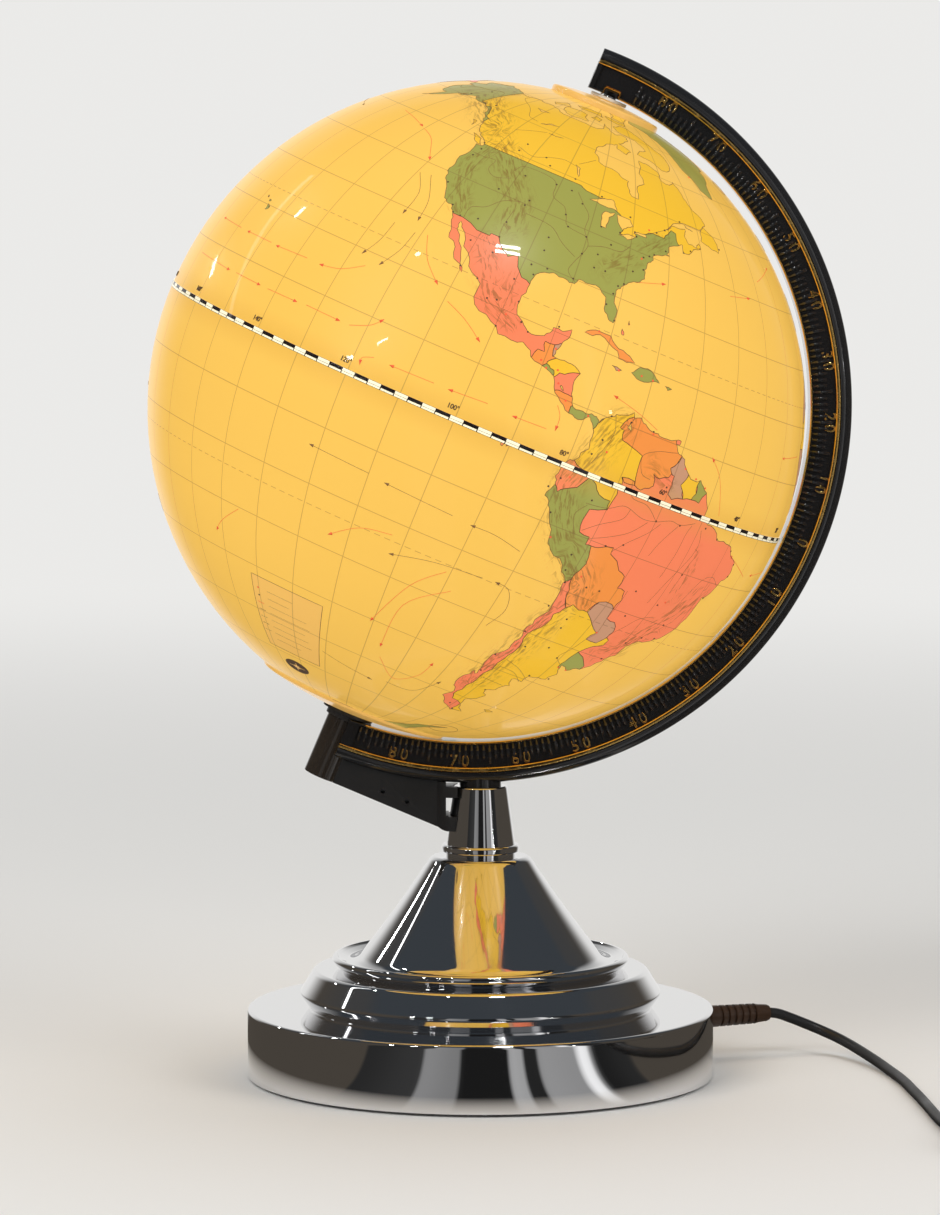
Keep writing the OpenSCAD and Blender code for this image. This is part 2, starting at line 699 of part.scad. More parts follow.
module equator_tape() {
    h = tape_w / 2;
    color("white") on_axis() rotate_extrude($fn = 180) polygon([
        [globe_r, 0], [south_r, 0], [south_r, -h], [tape_r, -h], [tape_r, h], [globe_r, h]]);
}

module north_cap() {
    edge = 1.1;
    rim = dome(cap_top, pin_r + run_fit, north_cap_r - edge, 10, 1);
    turn = rim[len(rim) - 1];
    foot = dome(globe_r + 0.02, north_cap_r, north_boss_r, 8, 1);
    color("khaki") on_axis() rotate_extrude() polygon(concat(
        rim, arc([north_cap_r - edge, turn[1] - edge], edge, 70, 0, 4), foot,
        [[north_boss_r, globe_r - 6], [pin_r + run_fit, globe_r - 6]]));
}

module north_washer() {
    color("whitesmoke") on_axis() translate([0, 0, cap_top])
        ring_of(washer_r, pin_r + ease, rim_top - play - cap_top);
}

module south_cap() {
    z_rim = sqrt(south_r * south_r - south_cap_r * south_cap_r) + 1;   // the rim stands a millimetre proud
    sag = cap_bottom - z_rim;
    bow = (south_cap_r * south_cap_r + sag * sag) / 2 / sag;          // radius of the shallow dome
    edge = 0.9;
    last = south_cap_r - edge;
    mouth = lamp_hole_r - 2.2;
    // edge of the lamp opening, down the axis
    seat = sqrt(south_r * south_r - lamp_hole_r * lamp_hole_r);
    under = [for (i = [0:8]) let (x = bush_r + (last - bush_r) * i / 8)
        [x, -cap_bottom + bow - sqrt(bow * bow - x * x)]];
    inner = [for (i = [0:6]) let (x = mouth + (bush_r - mouth) * i / 6)
        [x, -cap_bottom + bow - sqrt(bow * bow - x * x) + south_cap_t]];
    color("khaki") on_axis() rotate_extrude() polygon(concat(
        under, arc([last, -z_rim + edge - 0.2], edge, -60, 0, 4),
        dome(south_r + 0.02, south_cap_r, lamp_hole_r - 0.2, 3, -1),
        [[lamp_hole_r - 0.2, -seat + 4.5], [lamp_hole_r - 1.6, -seat + 6], [mouth, -seat + 4.5]],
        inner));
}

module south_bush() {
    top = -holder_z + 3.2;         // clear of the lamp holder
    seat = cap_bottom - south_cap_t - 0.7;
    color("#303030") on_axis() rotate_extrude() polygon([
        [tube_r + run_fit, -bush_end], [bush_r, -bush_end], [bush_r, -seat], [bush_r + 3, -seat],
        [bush_r + 3, -seat + 1.6],
        [bush_r, -seat + 1.6], [bush_r, -top], [tube_r + run_fit, -top]]);
}

// ---------- cord ----------

module along_exit(r) {
    translate([0, 0, gland_z]) rotate([0, 90, gland_a]) translate([0, 0, r]) children();
}

module cord_gland() {
    color("#2a1d14") difference() {
        union() {
            along_exit(drum_r - 10.5) cylinder(r = hole_r, h = 11);
            along_exit(drum_r) cylinder(r = gland_r + 1.2, h = 1.8);
            along_exit(drum_r + 1.8) cylinder(r1 = gland_r + 0.3, r2 = gland_r - 0.3, h = gland_len - 8.6);
            along_exit(drum_r + 1) cylinder(r = cord_r + 0.9, h = gland_len - 1);
            along_exit(gland_end - 3.2) cylinder(r1 = gland_r - 0.7, r2 = gland_r - 1.1, h = 3.2);
        }
        along_exit(drum_r - 12) cylinder(r = cord_r, h = gland_len + 14);
    }
}

module gland_nut() {
    color("#2a1d14") along_exit(drum_r - 8.5) hex_nut(13, 4, hole_r);
}

module cord_run() {
    color("#181818") tube_along(run_pts, cord_r);
}

module cord_coil() {
    color("#181818") translate([coil_c[0], coil_c[1], coil_z]) ring_of(coil_ro, coil_ri, coil_h);
}

module cord_tail() {
    color("#181818") tube_along(tail_pts, cord_r);
}

module cord_tie() {
    t = 0.9;
    low = coil_ri - 0.3;           // the ring curves in between the strap's edges
    wide = coil_ro - low + 2 * t;
    color("#303030") translate([coil_c[0] - 3, coil_c[1] + low - t, coil_z - t]) difference() {
        cube([6, wide, coil_h + 2 * t]);
        translate([-1, t, t]) cube([10, wide - 2 * t, coil_h]);
    }
}

module plug_body() {
    color("#181818") translate([plug_x, plug_y, 0]) {
        translate([-plug_w / 2, 12, 0]) cube([plug_w, plug_len - 12, plug_h]);
        translate([0, 0, plug_h / 2]) rotate([-90, 0, 0]) cylinder(r1 = 3.6, r2 = 6.5, h = 12.5);
    }
}

module plug_blades() {
    color("silver") for (s = [-1, 1])
        translate([plug_x + s * 6.35 - 0.75, plug_y + plug_len, plug_h / 2 - 3.2]) cube([1.5, 16, 6.4]);
}

felt_pad();
drum_shell();
base_plate();
plate_screws();
ballast_weight();
touch_module();
base_ring();
base_cone();
neck_flange();
neck_spacer();
neck_sleeve();
tie_rod();
rod_washer();
lower_nut();
upper_nut();
meridian_arc();
arm_bracket();
bracket_cover();
cover_screws();
arm_screw();
axis_tube();
tube_plug();
tube_collar();
pivot_pin();
lamp_holder();
holder_shell();
bulb_glass();
bulb_cap();
lamp_lead();
mains_lead();
north_hemisphere();
south_hemisphere();
equator_tape();
north_cap();
north_washer();
south_cap();
south_bush();
cord_gland();
gland_nut();
cord_run();
cord_coil();
cord_tail();
cord_tie();
plug_body();
plug_blades();
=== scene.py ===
"""A lit desk globe that turns in its meridian arm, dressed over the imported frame.

Metres, +Z up, looked at along +Y.
"""

import math
import random

import bmesh
import bpy
import numpy as np
from mathutils import Matrix, Vector, geometry


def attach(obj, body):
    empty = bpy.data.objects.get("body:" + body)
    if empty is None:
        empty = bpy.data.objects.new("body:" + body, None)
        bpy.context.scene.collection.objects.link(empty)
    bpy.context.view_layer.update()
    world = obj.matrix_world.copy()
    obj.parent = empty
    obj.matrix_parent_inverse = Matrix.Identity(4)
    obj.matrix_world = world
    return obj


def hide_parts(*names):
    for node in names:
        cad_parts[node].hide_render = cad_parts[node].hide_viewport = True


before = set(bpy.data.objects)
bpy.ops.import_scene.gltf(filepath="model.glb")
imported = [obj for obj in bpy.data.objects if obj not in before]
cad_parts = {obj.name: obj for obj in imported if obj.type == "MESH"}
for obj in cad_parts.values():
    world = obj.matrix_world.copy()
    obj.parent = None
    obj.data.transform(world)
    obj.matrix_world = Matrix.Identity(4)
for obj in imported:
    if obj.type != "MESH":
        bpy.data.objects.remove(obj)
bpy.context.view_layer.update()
MM = 0.001

# ---------------------------------------------------------------- the view
# A long lens two metres away, a little above the middle of the ball and
# looking slightly down on the stand.
scene = bpy.context.scene
scene.view_settings.view_transform = "Standard"


def shown(name, data):
    """A new object in the scene."""
    made = bpy.data.objects.new(name, data)
    scene.collection.objects.link(made)
    return made


look_down = 5.2
camera = shown("camera", bpy.data.cameras.new("camera"))
camera.data.lens = 159.56
camera.location = (-0.004, -2.050, 0.3675)
camera.rotation_euler = (math.radians(90 - look_down), 0, 0)
scene.camera = camera


# ---------------------------------------------------------------- the room
# A pale seamless floor, one large soft lamp on each side and one above. Gloss
# shows a room of its own, banded by direction, and a few small bright panels.
def add(tree, kind, sockets=None, **settings):
    """Adds a node to a tree. Each socket takes a value, or an output to be joined to."""
    made = tree.nodes.new(kind)
    for name, value in settings.items():
        setattr(made, name, value)
    for name, value in (sockets or {}).items():
        if isinstance(value, bpy.types.NodeSocket):
            tree.links.new(value, made.inputs[name])
        else:
            made.inputs[name].default_value = value
    return made


def maths(tree, operation, *values):
    """One sum on numbers or outputs."""
    return add(tree, "ShaderNodeMath", dict(enumerate(values)), operation=operation).outputs[0]


def blank(name):
    """A new material and its tree, still empty."""
    material = bpy.data.materials.new(name)
    material.use_nodes = True
    material.node_tree.nodes.clear()
    return material, material.node_tree


def close(tree, shader, kind="Material"):
    """Ends a tree in a shader's node."""
    add(tree, "ShaderNodeOutput" + kind, {"Surface": shader.outputs[0]})


def ranged(tree, value, low, high, start=0.0, end=1.0, **settings):
    """Carries a value from one range to another."""
    return add(tree, "ShaderNodeMapRange", {"Value": value, "From Min": low, "From Max": high,
                                            "To Min": start, "To Max": end}, **settings).outputs[0]


def mixed(tree, amount, a, b, blend="MIX"):
    """Mixes two colours."""
    return add(tree, "ShaderNodeMix", {0: amount, 6: a, 7: b}, data_type="RGBA", blend_type=blend).outputs[2]


def steps(tree, factor, stops):
    """A smooth ramp from stops of (place, grey or colour)."""
    ramp = add(tree, "ShaderNodeValToRGB", {"Fac": factor})
    ramp.color_ramp.interpolation = "EASE"
    elements = ramp.color_ramp.elements
    for i, (place, colour) in enumerate(stops):
        stop = elements[i] if i < 2 else elements.new(place)
        stop.position = place
        stop.color = (*colour, 1) if isinstance(colour, tuple) else (colour, colour, colour, 1)
    return ramp.outputs["Color"]


PALE = (0.83, 0.825, 0.81)


def around(tree, vector):
    """How far round and how high a direction lies: 0 at -X, 0.25 in front, 0.5 at +X, 0.75 behind."""
    part = add(tree, "ShaderNodeSeparateXYZ", {"Vector": vector})
    turn = maths(tree, "ARCTAN2", part.outputs["Y"], part.outputs["X"])
    return maths(tree, "MULTIPLY_ADD", turn, 0.5 / math.pi, 0.5), part.outputs["Z"]


SIDE = (0.07, 0.060, 0.049)
ROOM_BANDS = [(0.0, SIDE), (0.121, SIDE), (0.125, 0.025), (0.187, 0.04), (0.192, 0.27), (0.226, 0.22),
              (0.231, 0.012), (0.278, 0.012), (0.282, 0.42), (0.294, 0.38), (0.297, 0.02), (0.310, 0.02),
              (0.313, 0.33), (0.352, 0.30), (0.358, 1.0), (0.366, 1.0), (0.371, 0.26), (0.376, 0.015),
              (0.416, 0.025), (0.422, SIDE), (0.62, SIDE), (0.69, PALE), (0.81, PALE), (0.88, SIDE)]

world = bpy.data.worlds.new("room")
scene.world = world
world.use_nodes = True
sky = world.node_tree
sky.nodes.clear()
turn, height = around(sky, add(sky, "ShaderNodeTexCoord").outputs["Generated"])
bands = steps(sky, turn, ROOM_BANDS)
ceiling = steps(sky, height, [(0.20, 0.0), (0.58, 0.6), (0.66, 1.0)])
mirrored = mixed(sky, ceiling, bands, (0.044, 0.051, 0.059, 1))
paths = add(sky, "ShaderNodeLightPath")
seen = mixed(sky, paths.outputs["Is Glossy Ray"], (*PALE, 1), mirrored)
strength = maths(sky, "MULTIPLY_ADD", paths.outputs["Is Diffuse Ray"], -0.55, 1.0)
close(sky, add(sky, "ShaderNodeBackground", {"Color": seen, "Strength": strength}), "World")

floor_mesh = bpy.data.meshes.new("floor")
floor_mesh.from_pydata([(-12, -12, 0), (12, -12, 0), (12, 12, 0), (-12, 12, 0)], [], [(0, 1, 2, 3)])
floor = shown("floor", floor_mesh)
material, tree = blank("pale floor")
place = add(tree, "ShaderNodeTexCoord").outputs["Object"]
reach = add(tree, "ShaderNodeVectorMath", {0: place}, operation="LENGTH").outputs["Value"]
far = ranged(tree, reach, 0.45, 2.2, interpolation_type="SMOOTHSTEP")
paths = add(tree, "ShaderNodeLightPath")
near = add(tree, "ShaderNodeBsdfDiffuse", {"Color": (0.8, 0.795, 0.78, 1)})
away = add(tree, "ShaderNodeEmission", {"Color": (*PALE, 1)})
plain = add(tree, "ShaderNodeMixShader", {0: far, 1: near.outputs[0], 2: away.outputs[0]})
turn, height = around(tree, place)
banded = add(tree, "ShaderNodeEmission", {"Color": steps(tree, turn, ROOM_BANDS)})
mirror = maths(tree, "MULTIPLY", ranged(tree, reach, 0.098, 0.13), paths.outputs["Is Glossy Ray"])
close(tree, add(tree, "ShaderNodeMixShader", {0: mirror, 1: plain.outputs[0], 2: banded.outputs[0]}))
floor_mesh.materials.append(material)


def lamp(name, size, power, place, aim):
    """A soft lamp that gloss doesn't show."""
    light = bpy.data.lights.new(name, "AREA")
    light.shape, light.size, light.size_y = "RECTANGLE", *size
    light.energy = power
    holder = shown(name, light)
    holder.location = place
    holder.rotation_euler = (Vector(aim) - Vector(place)).to_track_quat("-Z", "Y").to_euler()
    holder.visible_glossy = False


lamp("left_softbox", (1.6, 1.6), 38, (-1.5, -1.9, 2.0), (0, 0, 0.15))
lamp("right_softbox", (1.4, 1.6), 20, (1.9, -1.3, 1.5), (0, 0, 0.15))
lamp("top_softbox", (1.8, 1.8), 16, (0.1, 0.6, 2.5), (0, 0, 0.1))


ball_middle = Vector((-1.5, 0, 256.5))


def panel(name, start, end, width, strength):
    """A glowing strip between two points, turned to the ball, that only shines in gloss."""
    start, end = Vector(start), Vector(end)
    outward = (start + end) / 2 - Vector((0, 0, ball_middle.z * MM))
    side = (end - start).cross(outward).normalized() * width / 2
    mesh = bpy.data.meshes.new(name)
    mesh.from_pydata([start - side, end - side, end + side, start + side], [], [(0, 1, 2, 3)])
    material, tree = blank(name)
    close(tree, add(tree, "ShaderNodeEmission", {"Color": (1, 1, 1, 1), "Strength": strength}))
    mesh.materials.append(material)
    made = shown(name, mesh)
    for ray in ("camera", "diffuse", "shadow", "transmission", "volume_scatter"):
        setattr(made, "visible_" + ray, False)


panel("upper_tube", (0.199, -1.051, 2.074), (0.460, -1.039, 2.033), 0.042, 120)
panel("lower_tube", (0.194, -1.117, 2.036), (0.465, -1.106, 1.992), 0.042, 120)
panel("tall_strip", (-1.274, 1.151, 2.025), (-2.268, 0.549, 1.091), 0.075, 4)
panel("left_lamp", (-1.395, 0.502, 1.712), (-1.312, 0.521, 1.780), 0.045, 60)
panel("back_lamp", (-1.538, 1.167, 0.970), (-1.425, 1.268, 1.020), 0.05, 28)
panel("small_lamp", (-0.658, -1.031, 1.974), (-0.607, -1.052, 1.981), 0.05, 60)
panel("dash_lamp", (-1.142, -1.573, 1.097), (-1.022, -1.614, 1.172), 0.03, 70)
panel("spot_lamp", (-1.467, -1.381, 0.899), (-1.390, -1.446, 0.930), 0.05, 70)
panel("right_lamp", (1.488, -1.501, 0.315), (1.515, -1.472, 0.313), 0.035, 40)

# ---------------------------------------------------------------- the cord
# A round two-core flex in soft black plastic, a metre and a half long. It
# leaves the drum through a strain relief, drops to the desk, and its spare
# length lies in a flat coil of two layers held by a strap.
def joined(name, mesh, body, slot, *nodes, finish=None, at=None):
    """Makes an object of a mesh, puts it on its body, and hides the solids it stands for."""
    if at:
        mesh.transform(at)
    if finish:
        mesh.materials.append(finish)
    made = shown(name, mesh)
    if nodes:
        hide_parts(*nodes)
    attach(made, body)
    return made


def finish_of(name):
    """A new material, its tree, and the place of a point on the piece."""
    material, tree = blank(name)
    return material, tree, add(tree, "ShaderNodeTexCoord").outputs["Object"]


def noise(tree, place, scale, detail, rough=0.5):
    return add(tree, "ShaderNodeTexNoise", {"Vector": place, "Scale": scale, "Detail": detail,
                                            "Roughness": rough}).outputs["Fac"]


def bumped(tree, height, deep):
    return add(tree, "ShaderNodeBump", {"Height": height, "Distance": deep}).outputs[0]


def surfaced(tree, tone, roughness, **sockets):
    """Ends a material in one shader."""
    close(tree, add(tree, "ShaderNodeBsdfPrincipled",
                    {"Base Color": tone, "Roughness": roughness, **sockets}))


def shades(colour, dark, light):
    """A darker and a lighter shade of a colour."""
    return [(*[min(1, c * by) for c in colour], 1) for by in (dark, light)]


def moulded(name, colour, roughness, bump=0.00002, grain=900, **sockets):
    """Moulded plastic, rubber or paint: a fine grain in its surface and a little wear in its gloss."""
    material, tree, place = finish_of(name)
    broad = noise(tree, place, 35, 4)
    surfaced(tree, mixed(tree, broad, *shades(colour, 0.85, 1.15)),
             ranged(tree, broad, 0.3, 0.7, roughness * 0.8, roughness * 1.25),
             Normal=bumped(tree, noise(tree, place, grain, 3), bump), **sockets)
    return material


cord_rubber = moulded("black flex", (0.018, 0.018, 0.019), 0.42, grain=1800)
cord_r = 2.0
exit_angle = math.radians(22)
exit_z = 16.8
relief_end = 122.2
relief_tip = Vector((relief_end * math.cos(exit_angle), relief_end * math.sin(exit_angle), exit_z))
cord_run = [(117, 47, 16.2), (122, 48.6, 14.3), (128, 49.5, 11.8), (134, 48.6, 9.4), (140, 44, 7.3),
            (145, 36.5, 5.6), (150, 25, 4), (154.5, 11, 2.8), (158, -4, 2.1), (161, -22, 2.02),
            (163, -42, 2.02), (165, -64, 2.02), (166.6, -85, 2.02), (168, -104, 2.1), (169.6, -120, 2.6),
            (170.8, -133.4, 3)]
cord_tail = [(238.2, -133.4, 7.2), (238.1, -127, 6.2), (238, -120, 4.3), (237.9, -113, 2.6),
             (237.7, -106, 2.2), (237.6, -98, 3.2), (237.6, -90, 5.2), (237.6, -82, 6.8), (237.6, -76, 7)]
coil_middle = Vector((204.5, -150, 0))
coil_out, coil_in, coil_turns, turn_points = 33.0, 17.8, 3.75, 24
coil_low, coil_high = 3.25, 7.35

coil = []
count = round(2 * coil_turns * turn_points)
for i in range(count + 1):
    share = i / count * 2
    radius = coil_out + (coil_in - coil_out) * (share if share < 1 else 2 - share)
    rise = min(max((share - 0.9) / 0.2, 0), 1)
    angle = math.pi + 2 * math.pi * i / turn_points
    coil.append(coil_middle + Vector((radius * math.cos(angle), radius * math.sin(angle),
                                      coil_low + (coil_high - coil_low) * rise * rise * (3 - 2 * rise))))

curve = bpy.data.curves.new("cord", "CURVE")
curve.dimensions = "3D"
curve.bevel_depth = cord_r * MM
curve.bevel_resolution = 4
curve.resolution_u = 4
curve.use_fill_caps = True
spline = curve.splines.new("BEZIER")
route = [Vector(p) for p in [relief_tip, *cord_run, *coil, *cord_tail]]
spline.bezier_points.add(len(route) - 1)
for knot, point in zip(spline.bezier_points, route):
    knot.co = point * MM
    knot.handle_left_type = knot.handle_right_type = "AUTO"
cord = joined("cord", curve, "stand", "cord_black", "cord_run", "cord_coil", "cord_tail", finish=cord_rubber)


# ---------------------------------------------------------------- the strain relief
# A tapered sleeve of black plastic, pushed through the drum's wall and
# held by a nut inside. Its dark brown tone is painted warm light from the
# lit ball. Its outer half is grooved so that it bends evenly.
def held_flat(profile, reach=0.25):
    """Adds a point near each end of every long stretch of a closed profile, so that it reflects straight."""
    out = []
    for a, b in zip(profile, profile[1:] + profile[:1]):
        along = Vector(b) - Vector(a)
        step = along.normalized() * reach
        out += [a] if along.length < 8 * reach else [a, tuple(Vector(a) + step), tuple(Vector(b) - step)]
    return out


def turned(name, profile, segments=192, crease=40):
    """Turns a closed profile of (radius, height) points in mm about Z. Radius 0 is one point on the axis."""
    form = bmesh.new()
    rings = []
    for r, z in held_flat(profile):
        if r < 1e-6:
            rings.append([form.verts.new((0, 0, z * MM))])
            continue
        rings.append([form.verts.new((r * math.cos(a) * MM, r * math.sin(a) * MM, z * MM))
                      for a in (2 * math.pi * k / segments for k in range(segments))])
    for a, b in zip(rings, rings[1:] + rings[:1]):
        for k in range(segments):
            m = (k + 1) % segments
            corners = [a[k % len(a)], a[m % len(a)], b[m % len(b)], b[k % len(b)]]
            corners = [v for i, v in enumerate(corners) if v not in corners[:i]]
            if len(corners) > 2:
                form.faces.new(corners)
    return finished(name, form, crease)


def meshed(name, form):
    """The mesh of an edited form."""
    mesh = bpy.data.meshes.new(name)
    form.to_mesh(mesh)
    form.free()
    return mesh


def finished(name, form, crease=40):
    """Closes a mesh: outward normals, soft shading, and edges sharper than crease degrees kept crisp."""
    bmesh.ops.recalc_face_normals(form, faces=form.faces)
    for face in form.faces:
        face.smooth = True
    for edge in form.edges:
        edge.smooth = len(edge.link_faces) == 2 and edge.calc_face_angle(0) < math.radians(crease)
    return meshed(name, form)


def rounded(points, radius, n=4):
    """Rounds the corners of a path of (a, b) points, except its ends."""
    out = [points[0]]
    for before, corner, after in zip(points, points[1:], points[2:]):
        c = Vector(corner)
        u, v = Vector(before) - c, Vector(after) - c
        r = min(radius, u.length * 0.45, v.length * 0.45)
        start, end = c + u.normalized() * r, c + v.normalized() * r
        out += [tuple((1 - t) ** 2 * start + 2 * t * (1 - t) * c + t * t * end)
                for t in (k / n for k in range(n + 1))]
    return out + [points[-1]]


# Painted light: black plastic given a dark brown tone for the ball's warm glow on it.
glow_tinted_plastic = moulded("glow tinted plastic", (0.045, 0.024, 0.014), 0.3)
drum_r = 89.5
grooves = []
for i in range(6):
    x = drum_r + 9 + i * 2.9
    r = 4.25 - 0.05 * i
    grooves += [(r, x), (r, x + 1.6), (r - 0.9, x + 1.9), (r - 0.9, x + 2.6)]
relief_profile = [(2.0, drum_r - 10), (3.8, drum_r - 10), (3.8, drum_r), (5.2, drum_r), (5.4, drum_r + 0.4),
                  (5.4, drum_r + 1.3), (5.1, drum_r + 1.8), (4.6, drum_r + 2.1), (4.4, drum_r + 3), *grooves,
                  (4.0, relief_end - 6.4), (3.6, relief_end - 4.6), (3.3, relief_end - 1), (2.9, relief_end),
                  (2.0, relief_end)]
along_exit = Matrix.Rotation(exit_angle, 4, "Z") @ Matrix.Rotation(math.pi / 2, 4, "Y")
relief = joined("strain_relief", turned("strain_relief", relief_profile, 48), "stand", "relief", "cord_gland",
                finish=glow_tinted_plastic, at=Matrix.Translation((0, 0, exit_z * MM)) @ along_exit)


# ---------------------------------------------------------------- the plug and the strap
# A two-blade plug moulded on the flex, with finger grooves in its sides, and
# a woven strap that holds the coil.
def block(form, low, high, bevel=0.0, segments=3):
    """Adds a box with rounded edges, from corner to corner in mm."""
    size = Vector(high) - Vector(low)
    made = bmesh.ops.create_cube(form, size=1, matrix=Matrix.Translation((Vector(low) + size / 2) * MM)
                                 @ Matrix.Diagonal((*(size * MM), 1)))
    if bevel:
        edges = list(dict.fromkeys(e for v in made["verts"] for e in v.link_edges))
        bmesh.ops.bevel(form, geom=edges, offset=bevel * MM, segments=segments, profile=0.5, affect="EDGES")
    return made


def lofted(form, rings, looped=False, capped=False):
    """Joins rings of points, each to the next, and returns the new faces."""
    made = []
    for a, b in zip(rings, rings[1:] + rings[:1] if looped else rings[1:]):
        for k in range(len(a)):
            m = (k + 1) % len(a)
            made.append(form.faces.new((a[k], a[m], b[m], b[k])))
    return made + [form.faces.new(ring) for ring in ((rings[0], rings[-1]) if capped else ())]


plug_x, plug_y, plug_z = 237.6, -76, 7
form = bmesh.new()
shape = [(0, 3.3, 3.3), (3, 3.6, 3.6), (8, 4.4, 4.2), (12, 7.4, 5.6), (14.5, 10.2, 6.4), (17, 11.2, 6.7),
         (19, 11.0, 6.2), (21, 11.3, 6.7), (23, 11.1, 6.2), (25, 11.5, 6.8), (28.5, 11.8, 6.9),
         (30, 11.2, 6.4)]
rings = []
for along, wide, tall in shape:
    square = 2 / (2 + 2.4 * min(1, along / 16))
    ring = []
    for a in (2 * math.pi * k / 32 for k in range(32)):
        c, s = (math.copysign(abs(part) ** square, part) for part in (math.cos(a), math.sin(a)))
        ring.append(form.verts.new(((plug_x + wide * c) * MM, (plug_y + along) * MM,
                                    (plug_z + tall * s) * MM)))
    rings.append(ring)
lofted(form, rings, capped=True)
plug = joined("plug", finished("plug", form), "stand", "cord_black", "plug_body", finish=cord_rubber)

form = bmesh.new()
for side in (-1, 1):
    x = plug_x + side * 6.35
    block(form, (x - 0.75, plug_y + 30, plug_z - 3.2), (x + 0.75, plug_y + 46, plug_z + 3.2), 0.5, 2)


def metal(name, colour, roughness, grain=60):
    """Bare or plated metal, with faint smears in its polish."""
    material, tree, place = finish_of(name)
    smear = noise(tree, place, grain, 5, 0.6)
    surfaced(tree, (*colour, 1), ranged(tree, smear, 0.35, 0.75, roughness * 0.6, roughness * 1.8),
             Metallic=1.0, Normal=bumped(tree, noise(tree, place, grain * 0.4, 2), 0.00002))
    return material


zinc = metal("zinc plate", (0.62, 0.63, 0.65), 0.28)
blades = joined("blades", finished("plug_blades", form, 50), "stand", "plated", "plug_blades", finish=zinc)

strap_outline = rounded([(0, 9.7), (-9.7, 9.7), (-9.7, 0), (0, 0), (9.7, 0), (9.7, 9.7), (0, 9.7)], 2.6, 5)
form = bmesh.new()
rings = []
tie_y, strap_middle = coil_middle.y + 25.4, 4.85
for grow, x in ((0, -3), (0.45, -2.8), (0.45, 2.8), (0, 3), (-0.3, 2.8), (-0.3, -2.8)):
    ring = [(y * (1 + grow / 12), z + (z - strap_middle) * grow / 6) for y, z in strap_outline[:-1]]
    rings.append([form.verts.new(((coil_middle.x + x) * MM, (tie_y + y) * MM, (z + 0.45) * MM))
                  for y, z in ring])
lofted(form, rings, looped=True)
strap = joined("strap", finished("strap", form), "stand", "cord_black", "cord_tie",
               finish=moulded("woven strap", (0.03, 0.03, 0.032), 0.75, bump=0.0002, grain=1400))


# ---------------------------------------------------------------- the drum and its pad
# A spun steel drum, open below, polished and chrome plated. A steel plate
# closes it, and a disc of black felt under the plate keeps it off the desk.
chrome = metal("polished chrome", (0.82, 0.82, 0.83), 0.035, grain=25)
rod_hole = 5.1
sheet = 1.2
drum_low, drum_high = 1.2, 26.9
outer = rounded([(rod_hole, drum_high), (drum_r, drum_high), (drum_r, drum_low)], 1.3, 6)
inner = rounded([(drum_r - sheet, drum_low), (drum_r - sheet, drum_high - sheet),
                 (rod_hole, drum_high - sheet)], 0.6)
joined("drum", turned("drum", [*outer, *inner], 256), "stand", "chrome", "drum_shell", finish=chrome)

felt, tree, place = finish_of("felt")
fuzz = noise(tree, place, 1600, 6, 0.75)
surfaced(tree, steps(tree, fuzz, [(0.3, (0.012, 0.012, 0.013)), (0.7, (0.035, 0.034, 0.034))]), 0.95,
         Normal=bumped(tree, fuzz, 0.0004), **{"Sheen Weight": 0.5, "Sheen Roughness": 0.6})
mesh = turned("felt", [(0, 0), (87.1, 0), (87.9, 0.6), (87.9, 2.0), (87.5, 2.4), (0, 2.4)])
joined("felt", mesh, "stand", "felt", "felt_pad", finish=felt)


# ---------------------------------------------------------------- the ring, the cone and the neck
# Three more spun and plated shells, stacked on one threaded rod: a ring with
# a wide rounded side, a cone with an upturned lip, and the neck on its collar.
def swept(middle, radius, start, end, n):
    """Points of an arc in degrees."""
    return [(middle[0] + radius * math.cos(a), middle[1] + radius * math.sin(a))
            for a in (math.radians(start + (end - start) * k / n) for k in range(n + 1))]


def sheet_of(path, thick):
    """The closed outline of a sheet that lies on the right of a path."""
    points = [Vector(p) for p in path]
    sides = [Vector((d.y, -d.x)).normalized() for d in (b - a for a, b in zip(points, points[1:]))]
    back = []
    for i, point in enumerate(points):
        a, b = sides[max(i - 1, 0)], sides[min(i, len(sides) - 1)]
        mid = (a + b).normalized()
        back.append(tuple(point + mid * thick / max(mid.dot(a), 0.3)))
    return [*path, *reversed(back)]


ring_top = drum_high + 15.1
ring_r = 69.2
lip_r = 57.0
ring_foot = 65.7
path = [(lip_r - 6, ring_top), *swept((ring_r - 6.8, ring_top - 2.6), 2.6, 90, 32, 8),
        *swept((ring_r - 1.6, drum_high + 6), 1.6, 32, -35, 10),
        (ring_foot, drum_high + 0.5), (ring_foot, drum_high)]
joined("ring", turned("ring", sheet_of(path, sheet), 256), "stand", "chrome", "base_ring", finish=chrome)

cone_top = ring_top + 43.5
edge, dip, bend = 3.4, 6.4, 5.4
top = Vector((20.3 - edge, cone_top - edge))
low = Vector((lip_r - 6, ring_top + 3.2 + dip))
run = (low - top).length
slope = math.atan2(top.y - low.y, low.x - top.x) + math.asin((edge + dip) / run)
first = 90 - math.degrees(slope) - bend / 2
side_r = math.sqrt(run ** 2 - (edge + dip) ** 2) / (2 * math.sin(math.radians(bend / 2)))
far_side = top + Vector((math.cos(math.radians(first)), math.sin(math.radians(first)))) * (side_r + edge)
path = [(rod_hole, cone_top), *swept(top, edge, 90, first, 8),
        *swept(far_side, side_r, 180 + first, 180 + first + bend, 40)[1:-1],
        *swept(low, dip, 180 + first + bend, 276, 12), (lip_r - 2.6, ring_top + 4.3),
        *swept((lip_r - 1.5, ring_top + 3.9), 1.4, 110, -20, 8),
        (lip_r - 1.2, ring_top + 2), (lip_r - 2.6, ring_top + 0.8), (lip_r - 3.8, ring_top)]
joined("cone", turned("cone", sheet_of(path, 0.9), 384), "stand", "chrome", "base_cone", finish=chrome)

